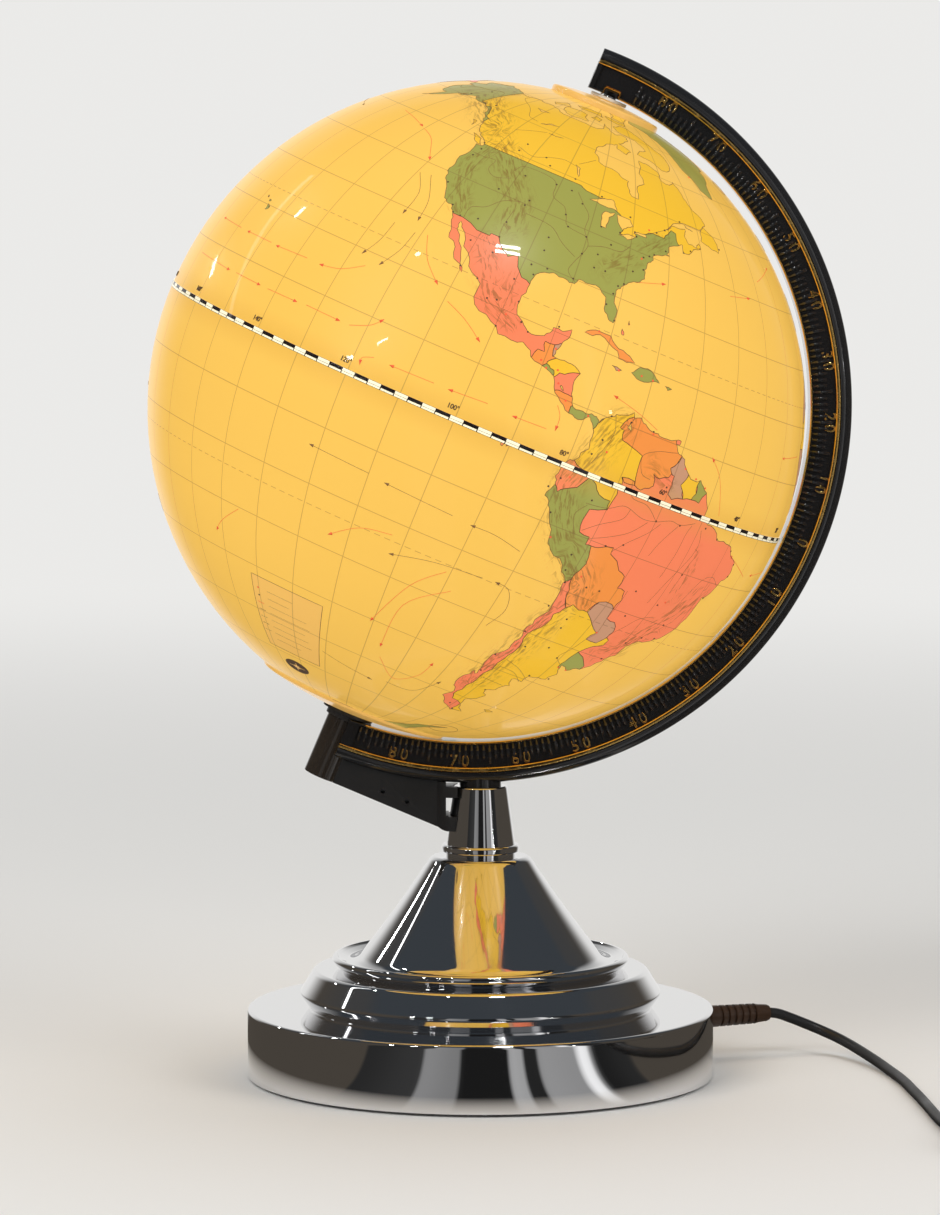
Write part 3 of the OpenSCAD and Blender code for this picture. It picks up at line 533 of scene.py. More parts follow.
neck_low = cone_top + 4.5
neck_high = neck_low + 22.5
collar_r = 14.9
path = [(rod_hole, cone_top), (collar_r - 1.6, cone_top), (collar_r - 1.6, cone_top + 1.7),
        (collar_r - 0.3, cone_top + 1.7), (collar_r, cone_top + 2.1), (collar_r, neck_low - 0.9),
        (collar_r - 0.3, neck_low - 0.3), (collar_r - 1, neck_low), (rod_hole, neck_low)]
joined("collar", turned("collar", path, crease=50), "stand", "chrome", "neck_flange", finish=chrome)

neck_r1, neck_r2 = 13.3, 10.3
path = [(0, neck_high), *swept((neck_r2 - 0.8, neck_high - 0.8), 0.8, 90, 8, 6), (neck_r1, neck_low)]
profile = sheet_of(path, sheet)
profile[len(path)] = (neck_r1 - sheet, neck_low)
profile[-1] = (0, profile[-1][1])


def plain_mesh(host):
    """The finished mesh of an object with modifiers or text. The object goes."""
    bpy.context.view_layer.update()
    mesh = bpy.data.meshes.new_from_object(host.evaluated_get(bpy.context.evaluated_depsgraph_get()))
    bpy.data.objects.remove(host)
    return mesh


def carved(mesh, *cuts):
    """Cuts meshes out of a mesh, and returns what is left as a new mesh with the same materials."""
    whole = shown("whole", mesh)
    tools = [shown("tool", shape) for shape in cuts]
    for tool in tools:
        cut = whole.modifiers.new("cut", "BOOLEAN")
        cut.object, cut.operation, cut.solver = tool, "DIFFERENCE", "EXACT"
    ready = plain_mesh(whole)
    for tool in tools:
        bpy.data.objects.remove(tool)
    form = bmesh.new()
    form.from_mesh(ready)
    left = finished(mesh.name, form, 35)
    for material in mesh.materials:
        left.materials.append(material)
    bpy.data.meshes.remove(ready)
    return left


foot_high, foot_half = 101.2, 4.0
form = bmesh.new()
block(form, (-neck_r1 - 2, -foot_half - 0.1, neck_low - 1), (0, foot_half + 0.1, foot_high + 0.1))
mesh = carved(turned("neck", profile), finished("slot", form))
joined("neck", mesh, "stand", "chrome", "neck_sleeve", finish=chrome)


# ---------------------------------------------------------------- the meridian arm
# A half ring of moulded plastic in gloss black. Both faces have a sunk field
# between two raised rims, foil stamped in gold, and a rounded outer band.
axis_tilt = math.radians(23)
ball_r = 125.0
arm_middle = Vector((-3.0, 0, 258.3))
arm_in, arm_out, arm_half = 128.2, 144.2, 9.0
rim_r, rim_half, inner_rim = 138.9, 0.95, 0.8
field = arm_half - 1.2
to_ball = Matrix.Translation(ball_middle * MM) @ Matrix.Rotation(axis_tilt, 4, "Y")


def on_axis(across, along, y=0.0):
    """A point across and along the ball's axis, in the frame of the stand, in mm."""
    c, s = math.cos(axis_tilt), math.sin(axis_tilt)
    return ball_middle + Vector((across * c + along * s, y, along * c - across * s))


def bead(low, high, soft):
    """The outline of a raised rim between two radii, with soft shoulders."""
    shoulder = [(soft * (1 - math.cos(a)), arm_half - soft * 1.3 * (1 - math.sin(a)))
                for a in (math.radians(18 * k) for k in range(6))]
    return [*((low + r, y) for r, y in shoulder), *((high - r, y) for r, y in reversed(shoulder))]


band_low = rim_r + rim_half + 0.15
half_section = [(arm_in, field - 1.0), *bead(arm_in, arm_in + inner_rim, 0.3), (arm_in + inner_rim, field),
                (arm_in + inner_rim + 0.3, field), (rim_r - rim_half - 0.3, field), (rim_r - rim_half, field),
                *bead(rim_r - rim_half, rim_r + rim_half, 0.55), (rim_r + rim_half, field), (band_low, field),
                *[(band_low + (arm_out - band_low) * math.sin(a), arm_half - 4.2 + 4 * math.cos(a))
                  for a in (math.radians(7.5 * k) for k in range(13))]]
section = [*half_section, *[(r, -y) for r, y in reversed(half_section)]]


def in_rim(point):
    """Whether a point of the outline is on one of the rims, which are foil stamped."""
    r, y = point
    return abs(y) > field - 0.1 and (r < arm_in + inner_rim + 0.01 or abs(r - rim_r) < rim_half + 0.01)


foiled = {i for i, (a, b) in enumerate(zip(section, section[1:] + section[:1]))
          if in_rim(a) and in_rim(b) and a[1] * b[1] > 0}


def ring_piece(section, start, end, count, foiled=()):
    """Carries a closed section of (radius, y) points round the arm's middle, between angles in degrees."""
    form = bmesh.new()
    rows = []
    for k in range(count + 1):
        a = math.radians(start + (end - start) * k / count)
        rows.append([form.verts.new((arm_middle + Vector((r * math.cos(a), y, r * math.sin(a)))) * MM)
                     for r, y in section])
    for number, face in enumerate(lofted(form, rows)):
        face.material_index = 1 if number % len(section) in foiled else 0
    return form


def trimmed(form, point, normal):
    """Cuts off what lies beyond a plane in the half of the arm that the point is in, and closes the cut."""
    upper = point.z > ball_middle.z
    faces = [f for f in form.faces if (f.calc_center_median().z / MM > ball_middle.z) == upper]
    corners = dict.fromkeys(v for f in faces for v in f.verts)
    sides = dict.fromkeys(e for f in faces for e in f.edges)
    cut = bmesh.ops.bisect_plane(form, geom=[*corners, *sides, *faces], plane_co=point * MM,
                                 plane_no=normal, clear_outer=True)
    edges = [e for e in cut["geom_cut"] if isinstance(e, bmesh.types.BMEdge)]
    bmesh.ops.holes_fill(form, edges=edges, sides=0)


def drilled(radius, low, high):
    """A round hole along the ball's axis."""
    form = bmesh.new()
    bmesh.ops.create_cone(form, cap_ends=True, segments=64, radius1=radius * MM, radius2=radius * MM,
                          depth=(high - low) * MM,
                          matrix=to_ball @ Matrix.Translation((0, 0, (low + high) / 2 * MM)))
    return finished("hole", form)


gloss_black = moulded("gloss black", (0.012, 0.012, 0.013), 0.16, bump=0.000008, grain=500,
                      **{"Coat Weight": 0.6, "Coat Roughness": 0.04})
gold_foil = metal("gold foil", (0.95, 0.62, 0.20), 0.2, grain=300)
across = Vector((math.cos(axis_tilt), 0, -math.sin(axis_tilt)))
arm_over, arm_start, foil_from, foil_to = 9.0, 1.5, 7.6, 3.2
north, south = 125, -135
pocket_half, pocket_top, pin_r = 3.0, 131.77, 2.5
shell = ring_piece(section, -118, 74, 384, foiled)
trimmed(shell, on_axis(-arm_over, north), -across)
trimmed(shell, on_axis(arm_start, south), -across)
for face in shell.faces:
    spot = face.calc_center_median() / MM
    if face.material_index and (spot - arm_middle).xz.length < arm_in + 2:
        if (spot - ball_middle).dot(across) < (foil_to if spot.z > ball_middle.z else foil_from):
            face.material_index = 0
solids = [shell]
for start, thick, end, reach in ((-arm_over, 1.7, north, (60, 76)), (arm_start, 4.5, south, (-118, -100))):
    wall = ring_piece([(arm_in + 0.2, arm_half - 0.1), (rim_r, arm_half - 0.1), (rim_r, 0.1 - arm_half),
                       (arm_in + 0.2, 0.1 - arm_half)], *reach, 40)
    trimmed(wall, on_axis(start, end), -across)
    trimmed(wall, on_axis(start + thick, end), across)
    solids.append(wall)
foot = bmesh.new()
bmesh.ops.create_cone(foot, cap_ends=True, segments=64, radius1=8 * MM, radius2=8 * MM, depth=5.6 * MM,
                      matrix=Matrix.Translation((0, 0, 115.3 * MM)))
trimmed(foot, on_axis(arm_start, south), -across)
solids.append(foot)
holes = [drilled(7.0, -152.5, -104), drilled(8.0, -129, -118), drilled(pin_r, 100, 141)]
for near, far in ((-23.5, -3.5), (3.5, 23.5)):
    form = bmesh.new()
    block(form, (-pocket_half, near, 119.2), (pocket_half, far, pocket_top), 0.8, 3)
    form.transform(to_ball)
    holes.append(finished("pocket", form))
whole = bmesh.new()
for solid in solids:
    mesh = finished("part", solid)
    mesh.materials.append(gloss_black)
    mesh.materials.append(gold_foil)
    cut = carved(mesh, *holes)
    whole.from_mesh(cut)
    bpy.data.meshes.remove(mesh)
    bpy.data.meshes.remove(cut)

# A fine gold line runs round the mouth of each pocket.
line_top, line_foot = arm_half + 0.05, field - 0.3
line_section = [(-1, line_foot), (-1, arm_half - 0.1), (-0.5, line_top),
                (0.5, line_top), (1, arm_half - 0.1), (1, line_foot)]
for side in (-1, 1):
    path = rounded([(-pocket_half - 0.2, 128.9), (-pocket_half - 0.2, pocket_top + 0.2),
                    (pocket_half + 0.2, pocket_top + 0.2), (pocket_half + 0.2, 129.4)], 0.9, 5)
    rows = []
    for k, point in enumerate(path):
        before, after = Vector(path[max(k - 1, 0)]), Vector(path[min(k + 1, len(path) - 1)])
        out = Vector((before.y - after.y, after.x - before.x)).normalized() * 0.28
        spot = Vector(point)
        rows.append([whole.verts.new(to_ball @ (Vector((spot.x + out.x * w, side * y,
                                                        spot.y + out.y * w)) * MM))
                     for w, y in line_section])
    for face in lofted(whole, rows, capped=True):
        face.material_index = 1
mesh = finished("arm", whole, 28)
mesh.materials.append(gloss_black)
joined("arm", mesh, "stand", "black_gloss", "meridian_arc", finish=gold_foil)


# ---------------------------------------------------------------- the arm's scale
# Raised black ribs mark each degree, a longer one every five. The numerals
# of the latitudes stand in relief and are foil stamped in gold.
def grown(name, tree, source, values):
    """Runs a node tree over a mesh, with its sizes by name, and returns the result as one mesh."""
    host = shown(name, source)
    grower = host.modifiers.new("grow", "NODES")
    grower.node_group = tree
    for item in tree.interface.items_tree:
        if item.in_out == "INPUT" and item.name in values:
            grower[item.identifier] = values[item.name]
    mesh = plain_mesh(host)
    mesh.name = name
    bpy.data.meshes.remove(source)
    return mesh


def inputs(tree, **sizes):
    """Gives a tree its Geometry input, its sizes as named inputs, and its Geometry output."""
    tree.interface.new_socket("Geometry", in_out="INPUT", socket_type="NodeSocketGeometry")
    tree.interface.new_socket("Geometry", in_out="OUTPUT", socket_type="NodeSocketGeometry")
    for name, kind in sizes.items():
        tree.interface.new_socket(name, in_out="INPUT", socket_type="NodeSocket" + kind)
    return tree.nodes.new("NodeGroupInput").outputs


def outputs(tree, instances, finish):
    """Ends a tree in real geometry with its finish."""
    real = add(tree, "GeometryNodeRealizeInstances", {"Geometry": instances})
    painted = add(tree, "GeometryNodeSetMaterial", {"Geometry": real.outputs[0], "Material": finish})
    tree.links.new(painted.outputs[0], tree.nodes.new("NodeGroupOutput").inputs[0])


rib_long, rib_extra, rib_unit = 4.6, 1.7, 5
form = bmesh.new()
length_layer = form.verts.layers.float.new("length")
turn_layer = form.verts.layers.float.new("turn")


def arm_angle(latitude):
    """The angle round the arm's middle, from +X, of a line of its scale, in degrees."""
    return 0.995 * latitude - 22.5


for latitude in range(-87, 86):
    for side in (-1, 1):
        angle = math.radians(arm_angle(latitude))
        long = rib_long + (rib_extra if latitude % 5 == 0 else 0)
        middle = arm_in + inner_rim + 0.7 + long / 2
        rib = form.verts.new((arm_middle + Vector((middle * math.cos(angle), side * (field - 0.1),
                                                   middle * math.sin(angle)))) * MM)
        rib[length_layer], rib[turn_layer] = long / rib_unit, -angle

tree = bpy.data.node_groups.new("ribs", "GeometryNodeTree")
size = inputs(tree, Length="Float", Width="Float", Height="Float", Finish="Material")
long, wide, tall = size["Length"], size["Width"], size["Height"]
half = maths(tree, "MULTIPLY", wide, 0.5)
bar = add(tree, "GeometryNodeMeshCylinder", {"Vertices": 14, "Radius": half, "Depth": long})
laid = add(tree, "GeometryNodeTransform", {"Geometry": bar.outputs["Mesh"], "Rotation": (0, math.pi / 2, 0)})
end = add(tree, "GeometryNodeMeshUVSphere", {"Segments": 14, "Rings": 8, "Radius": half})
whole = add(tree, "GeometryNodeJoinGeometry")
tree.links.new(laid.outputs[0], whole.inputs[0])
for sign in (-0.5, 0.5):
    shift = add(tree, "ShaderNodeCombineXYZ", {"X": maths(tree, "MULTIPLY", long, sign)})
    moved = add(tree, "GeometryNodeTransform",
                {"Geometry": end.outputs["Mesh"], "Translation": shift.outputs[0]})
    tree.links.new(moved.outputs[0], whole.inputs[0])
raised = add(tree, "ShaderNodeCombineXYZ", {"X": 1.0, "Y": maths(tree, "DIVIDE", tall, wide), "Z": 1.0})
flat = add(tree, "GeometryNodeTransform", {"Geometry": whole.outputs[0], "Scale": raised.outputs[0]})
soft = add(tree, "GeometryNodeSetShadeSmooth", {"Geometry": flat.outputs[0]})


def stored(tree, name):
    return add(tree, "GeometryNodeInputNamedAttribute", {"Name": name}).outputs["Attribute"]


turned_by = add(tree, "ShaderNodeCombineXYZ", {"Y": stored(tree, "turn")})
stretch = add(tree, "ShaderNodeCombineXYZ", {"X": stored(tree, "length"), "Y": 1.0, "Z": 1.0})
ribs = add(tree, "GeometryNodeInstanceOnPoints",
           {"Points": size["Geometry"], "Instance": soft.outputs[0], "Rotation": turned_by.outputs[0],
            "Scale": stretch.outputs[0]})
outputs(tree, ribs.outputs[0], size["Finish"])
mesh = grown("ribs", tree, meshed("rib_places", form),
             {"Length": rib_unit * MM, "Width": 1.5 * MM, "Height": 2.2 * MM, "Finish": gloss_black})
joined("ribs", mesh, "stand", "black_gloss")


def numeral(text, size, depth):
    """Figures of a given height in mm, in relief, as a mesh in X and Y with their middle at the origin."""
    words = bpy.data.curves.new(text, "FONT")
    words.body, words.size = text, size / 0.7 * MM
    words.extrude, words.bevel_depth, words.bevel_resolution = depth * MM, 0.16 * MM, 2
    words.offset = -0.1 * MM
    words.resolution_u = 3
    words.space_character = 0.95
    words.align_x, words.align_y = "CENTER", "CENTER"
    return plain_mesh(shown(text, words))


def laid_on(place, right, up, out):
    """The matrix that lays a flat shape at a place, with its sides along three directions."""
    return Matrix.Translation(place) @ Matrix((right, up, out)).transposed().to_4x4()


def figured(name, body, slot, finish, figures):
    """Makes one piece of many figures, each a text, a height, a depth and a place."""
    form = bmesh.new()
    for text, size, depth, place in figures:
        mesh = numeral(text, size, depth)
        mesh.transform(place)
        form.from_mesh(mesh)
        bpy.data.meshes.remove(mesh)
    joined(name, meshed(name, form), body, slot, finish=finish)


figure_r, figure_tall = 135.7, 4.3
figures = []
for latitude in range(-80, 81, 10):
    angle = math.radians(arm_angle(latitude))
    text = str(abs(latitude))
    text = " ".join(text) if latitude else "0"
    for side in (-1, 1):
        # Northern figures stand with their tops outwards, southern ones with their tops inwards.
        out = Vector((math.cos(angle), 0, math.sin(angle)))
        up = out if latitude >= 0 else -out
        face = Vector((0, side, 0))
        place = arm_middle + out * figure_r + face * (field + 0.2)
        figures.append((text, figure_tall, 0.2, laid_on(place * MM, up.cross(face), up, face)))
figured("numerals", "stand", "black_gloss", gold_foil, figures)


# ---------------------------------------------------------------- the bracket and the axis tube
# A cast web in satin black joins the tube, the arm and the neck, and carries
# the lamp's wire under a cover. The tube is steel, lacquered dark brown.
def softened(name, node, slot, finish, bevel=0.35, crease=35):
    """Stands in for a solid of the frame, with its edges rounded as they are after casting."""
    form = bmesh.new()
    form.from_mesh(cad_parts[node].data)
    bmesh.ops.remove_doubles(form, verts=form.verts, dist=1e-6)
    bmesh.ops.dissolve_limit(form, angle_limit=math.radians(0.5), verts=form.verts, edges=form.edges)
    sharp = [e for e in form.edges if len(e.link_faces) == 2 and e.calc_face_angle(0) > math.radians(crease)]
    bmesh.ops.bevel(form, geom=sharp, offset=bevel * MM, segments=2, profile=0.6, affect="EDGES",
                    clamp_overlap=True)
    joined(name, finished(name, form, crease), "stand", slot, node, finish=finish)


satin_black = moulded("satin black paint", (0.016, 0.016, 0.017), 0.34, bump=0.00004, grain=1100)
softened("bracket", "arm_bracket", "black_satin", satin_black)
softened("bracket_lid", "bracket_cover", "black_satin", satin_black, 0.2)
softened("lid_screws", "cover_screws", "steel", zinc, 0.15)

tube_r, tube_end, tube_top = 7.0, 152.5, 104.0
lacquer = moulded("brown lacquer", (0.022, 0.017, 0.013), 0.18, bump=0.00001, grain=700,
                  **{"Coat Weight": 0.7, "Coat Roughness": 0.05})
wall = 1.5
mesh = turned("tube", rounded([(tube_r - wall, -tube_end), (tube_r, -tube_end), (tube_r, -tube_top),
                               (tube_r - wall, -tube_top), (tube_r - wall, -tube_end)], 0.4), 96)
joined("tube", mesh, "stand", "tube_paint", "axis_tube", finish=lacquer, at=to_ball)

black_plastic = moulded("black plastic", (0.02, 0.02, 0.021), 0.4, bump=0.00003, grain=1000)
mesh = turned("tube_cap", [(0, 0.4 - tube_end), (5.2, 0.4 - tube_end), (5.5, 0.7 - tube_end),
                           (5.5, 1.8 - tube_end), (0, 1.8 - tube_end)], 64)
joined("tube_cap", mesh, "stand", "black_plastic", "tube_plug", finish=black_plastic, at=to_ball)


# ---------------------------------------------------------------- what the shells hide
# Ballast, plate, rod, nuts, switch, leads and the lamp keep their own solids
# and only take their finishes.
iron = moulded("sand cast iron", (0.05, 0.05, 0.052), 0.7, bump=0.0004, grain=500, Metallic=0.6)
white_plastic = moulded("white plastic", (0.83, 0.82, 0.78), 0.35)
brass = metal("brass", (0.86, 0.62, 0.25), 0.2)
opal, tree, place = finish_of("opal bulb")
glow = steps(tree, noise(tree, place, 60, 2), [(0.2, (1.0, 0.80, 0.5)), (0.8, (1.0, 0.86, 0.6))])
surfaced(tree, glow, 0.3, **{"Emission Color": glow, "Emission Strength": 2.0})
FINISHES = ((zinc, "base_plate plate_screws neck_spacer tie_rod rod_washer lower_nut upper_nut arm_screw "
                   "pivot_pin"),
            (iron, "ballast_weight"), (white_plastic, "touch_module lamp_holder lamp_lead"),
            (cord_rubber, "mains_lead"), (glow_tinted_plastic, "gland_nut"), (brass, "holder_shell bulb_cap"),
            (opal, "bulb_glass"), (black_plastic, "south_bush tube_collar"))
for finish, names in FINISHES:
    for name in names.split():
        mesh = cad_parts[name].data
        mesh.materials.clear()
        mesh.materials.append(finish)


# ---------------------------------------------------------------- the map
# Each half of the ball is moulded in translucent plastic with a political map
# on it, lit from inside. The graticule is part of the print, and coasts,
# frontiers, rivers and arrows are fine raised lines of ink.
def places(text):
    """Longitudes and latitudes in degrees from a string of pairs."""
    pairs = [pair.split(",") for pair in text.split()]
    return [(float(lon), float(lat)) for lon, lat in pairs]


AMERICAS = places("""
-141,69.6 -137,69 -134,69.5 -129,70 -125,69.5 -122,69.8 -117,69 -114,68 -108,68 -104,68 -98,67.8 -96,68.3
-94,69 -94,71.5 -91,70 -88,68.5 -85,69.5 -82,69 -81.5,68 -84,66.5 -87,65 -90,64 -94,61.5 -94.5,59 -92.5,57
-88,56.5 -85,55.5 -82.3,55 -82,53 -81,51.5 -79,51.5 -79.5,54 -77,56 -78.5,58.5 -77.5,60.5 -78,62.4 -74,62.3
-70,61 -69.5,59 -66.5,58.8 -64.5,60.2 -62,57.5 -60,55 -57,53.5 -56,51.8 -59,50.2 -65,50.2 -69,48.5 -71,47
-68,48.6 -64.5,49 -65,47.5 -64,46 -61.5,45.8 -60,46 -63,44.7 -66,43.5 -66,45.2 -67,44.8 -70,43.7 -70.7,42
-70,41.7 -74,40.6 -74.2,39.5 -75.5,38.5 -76,37 -75.7,35.3 -78,34 -80,32.5 -81.3,31 -81.2,29.5 -80.1,27
-80.3,25.3 -81.5,25.8 -82.7,27.8 -83,29.2 -84.2,30 -86,30.4 -89,30.3 -89.5,29.2 -91.5,29.4 -94,29.6 -97,28
-97.3,26 -97.8,22.5 -96.5,19.7 -94.5,18.2 -91.5,18.6 -90.5,20.5 -87.2,21.4 -87.5,19.5 -88.2,18 -88.8,16
-86,15.9 -83.3,15 -83.6,12 -82.5,9.4 -80,9.2 -78,9.4 -77.3,8.6 -75,10.5 -74.8,11 -73,11.5 -71.6,12.4
-71.5,11 -70,12 -68.5,11 -66,10.6 -64,10.3 -62,10.7 -61,9 -59,8.2 -57,6 -54,5.9 -51.7,4.3 -50,1.8 -50,0
-48.5,-0.7 -44.3,-2.7 -40,-2.8 -37,-4.8 -35.2,-5.5 -34.8,-8 -37,-11 -39,-13 -39,-17.5 -40.9,-21.5 -43,-23
-46.5,-24.3 -48.6,-26 -48.8,-28.5 -50.5,-30.5 -53.4,-33.7 -56,-34.9 -58.2,-34 -57,-36.4 -58,-38.3 -62.2,-39
-62.3,-40.8 -65,-41 -63.7,-42.7 -65.5,-45 -67.5,-46 -65.8,-47.5 -69,-50.5 -68.4,-52.4 -65.2,-54.7
-68.5,-55.4 -72,-54 -75,-51.5 -74,-48.5 -75.5,-46.7 -73,-42.5 -73.7,-39.5 -73.5,-37 -71.6,-33.5 -71.5,-30
-70.6,-26 -70.2,-20 -70.4,-18.3 -72,-17 -76,-14 -77.2,-12 -79.5,-7.5 -81.2,-5.8 -80.3,-3.4 -80.9,-2.2
-80.2,0.5 -78.8,1.5 -77.3,4 -77.6,6.8 -77.9,7.3 -79,8.9 -80.3,8 -82.8,8.2 -85.5,10 -87.5,12.9 -91.5,14
-94.5,16.2 -96.5,15.7 -101,17.3 -105.5,20 -105.5,22.5 -109.3,25.8 -112.8,30 -114.7,31.7 -114.5,30 -111.3,26
-109.5,23.1 -112,24.8 -115,28 -116.3,30.8 -117.2,32.6 -118.5,34 -120.6,34.6 -122.5,37.5 -123.8,39.5
-124.3,42 -124,46 -124.6,48.3 -122.8,48.5 -123,49.2 -125.5,50.5 -128,52 -130,54.5 -131.5,56 -134.5,58.5
-139,59.8 -143,60 -146,61 -149.5,60 -152,59.3 -151,61 -154,59 -158,56.5 -162,55 -158,58.6 -162,58.8 -165,61
-164.5,63 -161,64.5 -166,64.5 -168,65.7 -164,66.5 -162,67 -166.3,68.5 -163,69.5 -156.5,71.3 -150,70.5
-145,70.1""")
EURASIA = places("""
-9,43.3 -2,43.4 -1.2,45.5 -4.5,48 -1.5,49 1.5,50.5 4,52 8.5,53.8 8.2,56.8 10.5,57.6 10.2,55 12.5,54.4
18.5,54.7 21,55.5 21.5,57.5 24,57.2 24,59.3 29,60 23,60 21.4,61.5 25,65 22,65.8 17.3,62 18.8,60 16,56.5
13,55.5 11.3,59 8,58 5.2,60 5.5,62.2 11,64.7 15,68.5 20,70 26,71 31,70 41,67.5 40,66.3 33,66.7 38,64 44,66
44,68.5 54,68.7 60,68.8 68,68.5 67,72 72,72.5 73,68 77,72 86,74 104,77.5 113,74 128,72.5 140,72.5 152,71
161,69.6 170,70 178,69 190,66 183,65.3 179,62.5 171,60 163,58 163,56 157,51.2 155.7,56.5 163,61 155,59.3
143,59.2 136,54.6 140.5,52 140,48.5 135.5,44 131,42.7 127.5,39.5 129.4,36 126.5,34.5 126.5,37.5 125,39.6
121.5,39 121,40.8 118,39 122.3,37 119.3,35 121.8,31.5 121,28 117,23.5 110.3,21.2 107,21.3 105.8,19 109,13
107,10.4 105,8.7 105,10.3 102.5,12 100.5,13.4 99.5,10 103.3,4.5 104,1.4 101,3 98.5,8 98.5,14 97.5,16.8
94.3,16 92,21 91,22.5 87,21.4 82,16.5 80.2,13.2 79.5,10.3 77.5,8.1 75,12 73,17 72.7,21 70,21 67,24.8
61.5,25.1 57,27 51.5,28 48.5,30 50,26.7 51.5,25 54,24.1 56.3,26 59.7,22.5 55,17.5 45,12.8 43,13.5 42.5,16.5
39,21 35,28.2 32.6,29.9 34.3,31.3 36,36.5 30.5,36.5 27.3,37 26.5,39.5 29,41 35,42 41.3,41.2 37.5,44.7
39,47.2 35,46.3 33.5,44.5 31,46.6 28.5,44.5 28,42 26.3,40.8 23.5,40.3 23,37.5 21.6,36.9 19.4,41.5 13.8,45.4
12.5,44 18.4,40.1 16,38 15.7,40 11,42.5 8.8,44.4 4,43.5 3.2,42 -0.5,39.5 -2,36.8 -5.6,36.1 -8.9,37 -9.4,39""")
AFRICA = places("""
-5.6,35.8 -2,35.2 5,36.8 10.3,37.2 10.5,34.3 15.3,32.3 20,31 23,32.7 29,31 32.3,31.2 33,28 37,21.2 39.5,15.5
43.2,12 44.5,10.5 51.2,11.8 47.5,4 41.5,-2 39,-6.5 40.6,-11 40.4,-15.5 35,-20 35.5,-23.8 32.8,-26 32,-29
28,-32.8 25.5,-34 20,-34.7 18.3,-33.5 17,-29 14.5,-23 11.8,-17.5 13.7,-11.5 12.2,-6 9,-1.2 9.6,3.8 6,4.4
4,6.3 -2,4.9 -7.5,4.4 -12.8,7.8 -16.7,12.5 -17.4,14.8 -16.3,19 -17,21 -14.5,26.2 -9.8,29.6 -9.5,32""")
AUSTRALIA = places("""
114.2,-22 117,-20.7 122,-18 124,-16.3 127,-14 130,-12.5 132.5,-11.3 136.8,-12.3 135.7,-15 140,-17.6
142.5,-10.9 145.2,-15 146.3,-18.9 150.8,-23.3 153.4,-28 152,-32.5 150,-37.4 146.3,-39 143.5,-38.8 140,-37.5
138,-34 135.5,-34.6 131,-31.5 125,-32.6 121,-33.9 116.5,-35 115.2,-33.5 115.5,-31 113.6,-26""")
ANTARCTIC = places("""
-169,-74.2 -169,-73.6 -150,-73.8 -125,-73.2 -100,-72.6 -76,-73 -68,-69 -66,-66.5 -57,-63.2 -61,-66 -62,-71
-60,-73.6 -30,-73.8 -15,-72.8 0,-70.5 20,-70 40,-68.5 52,-66.2 70,-68.5 90,-66.5 115,-66.8 135,-66.2
150,-68.3 165,-70.7 170,-73.2 191,-73.6 191,-74.2""")
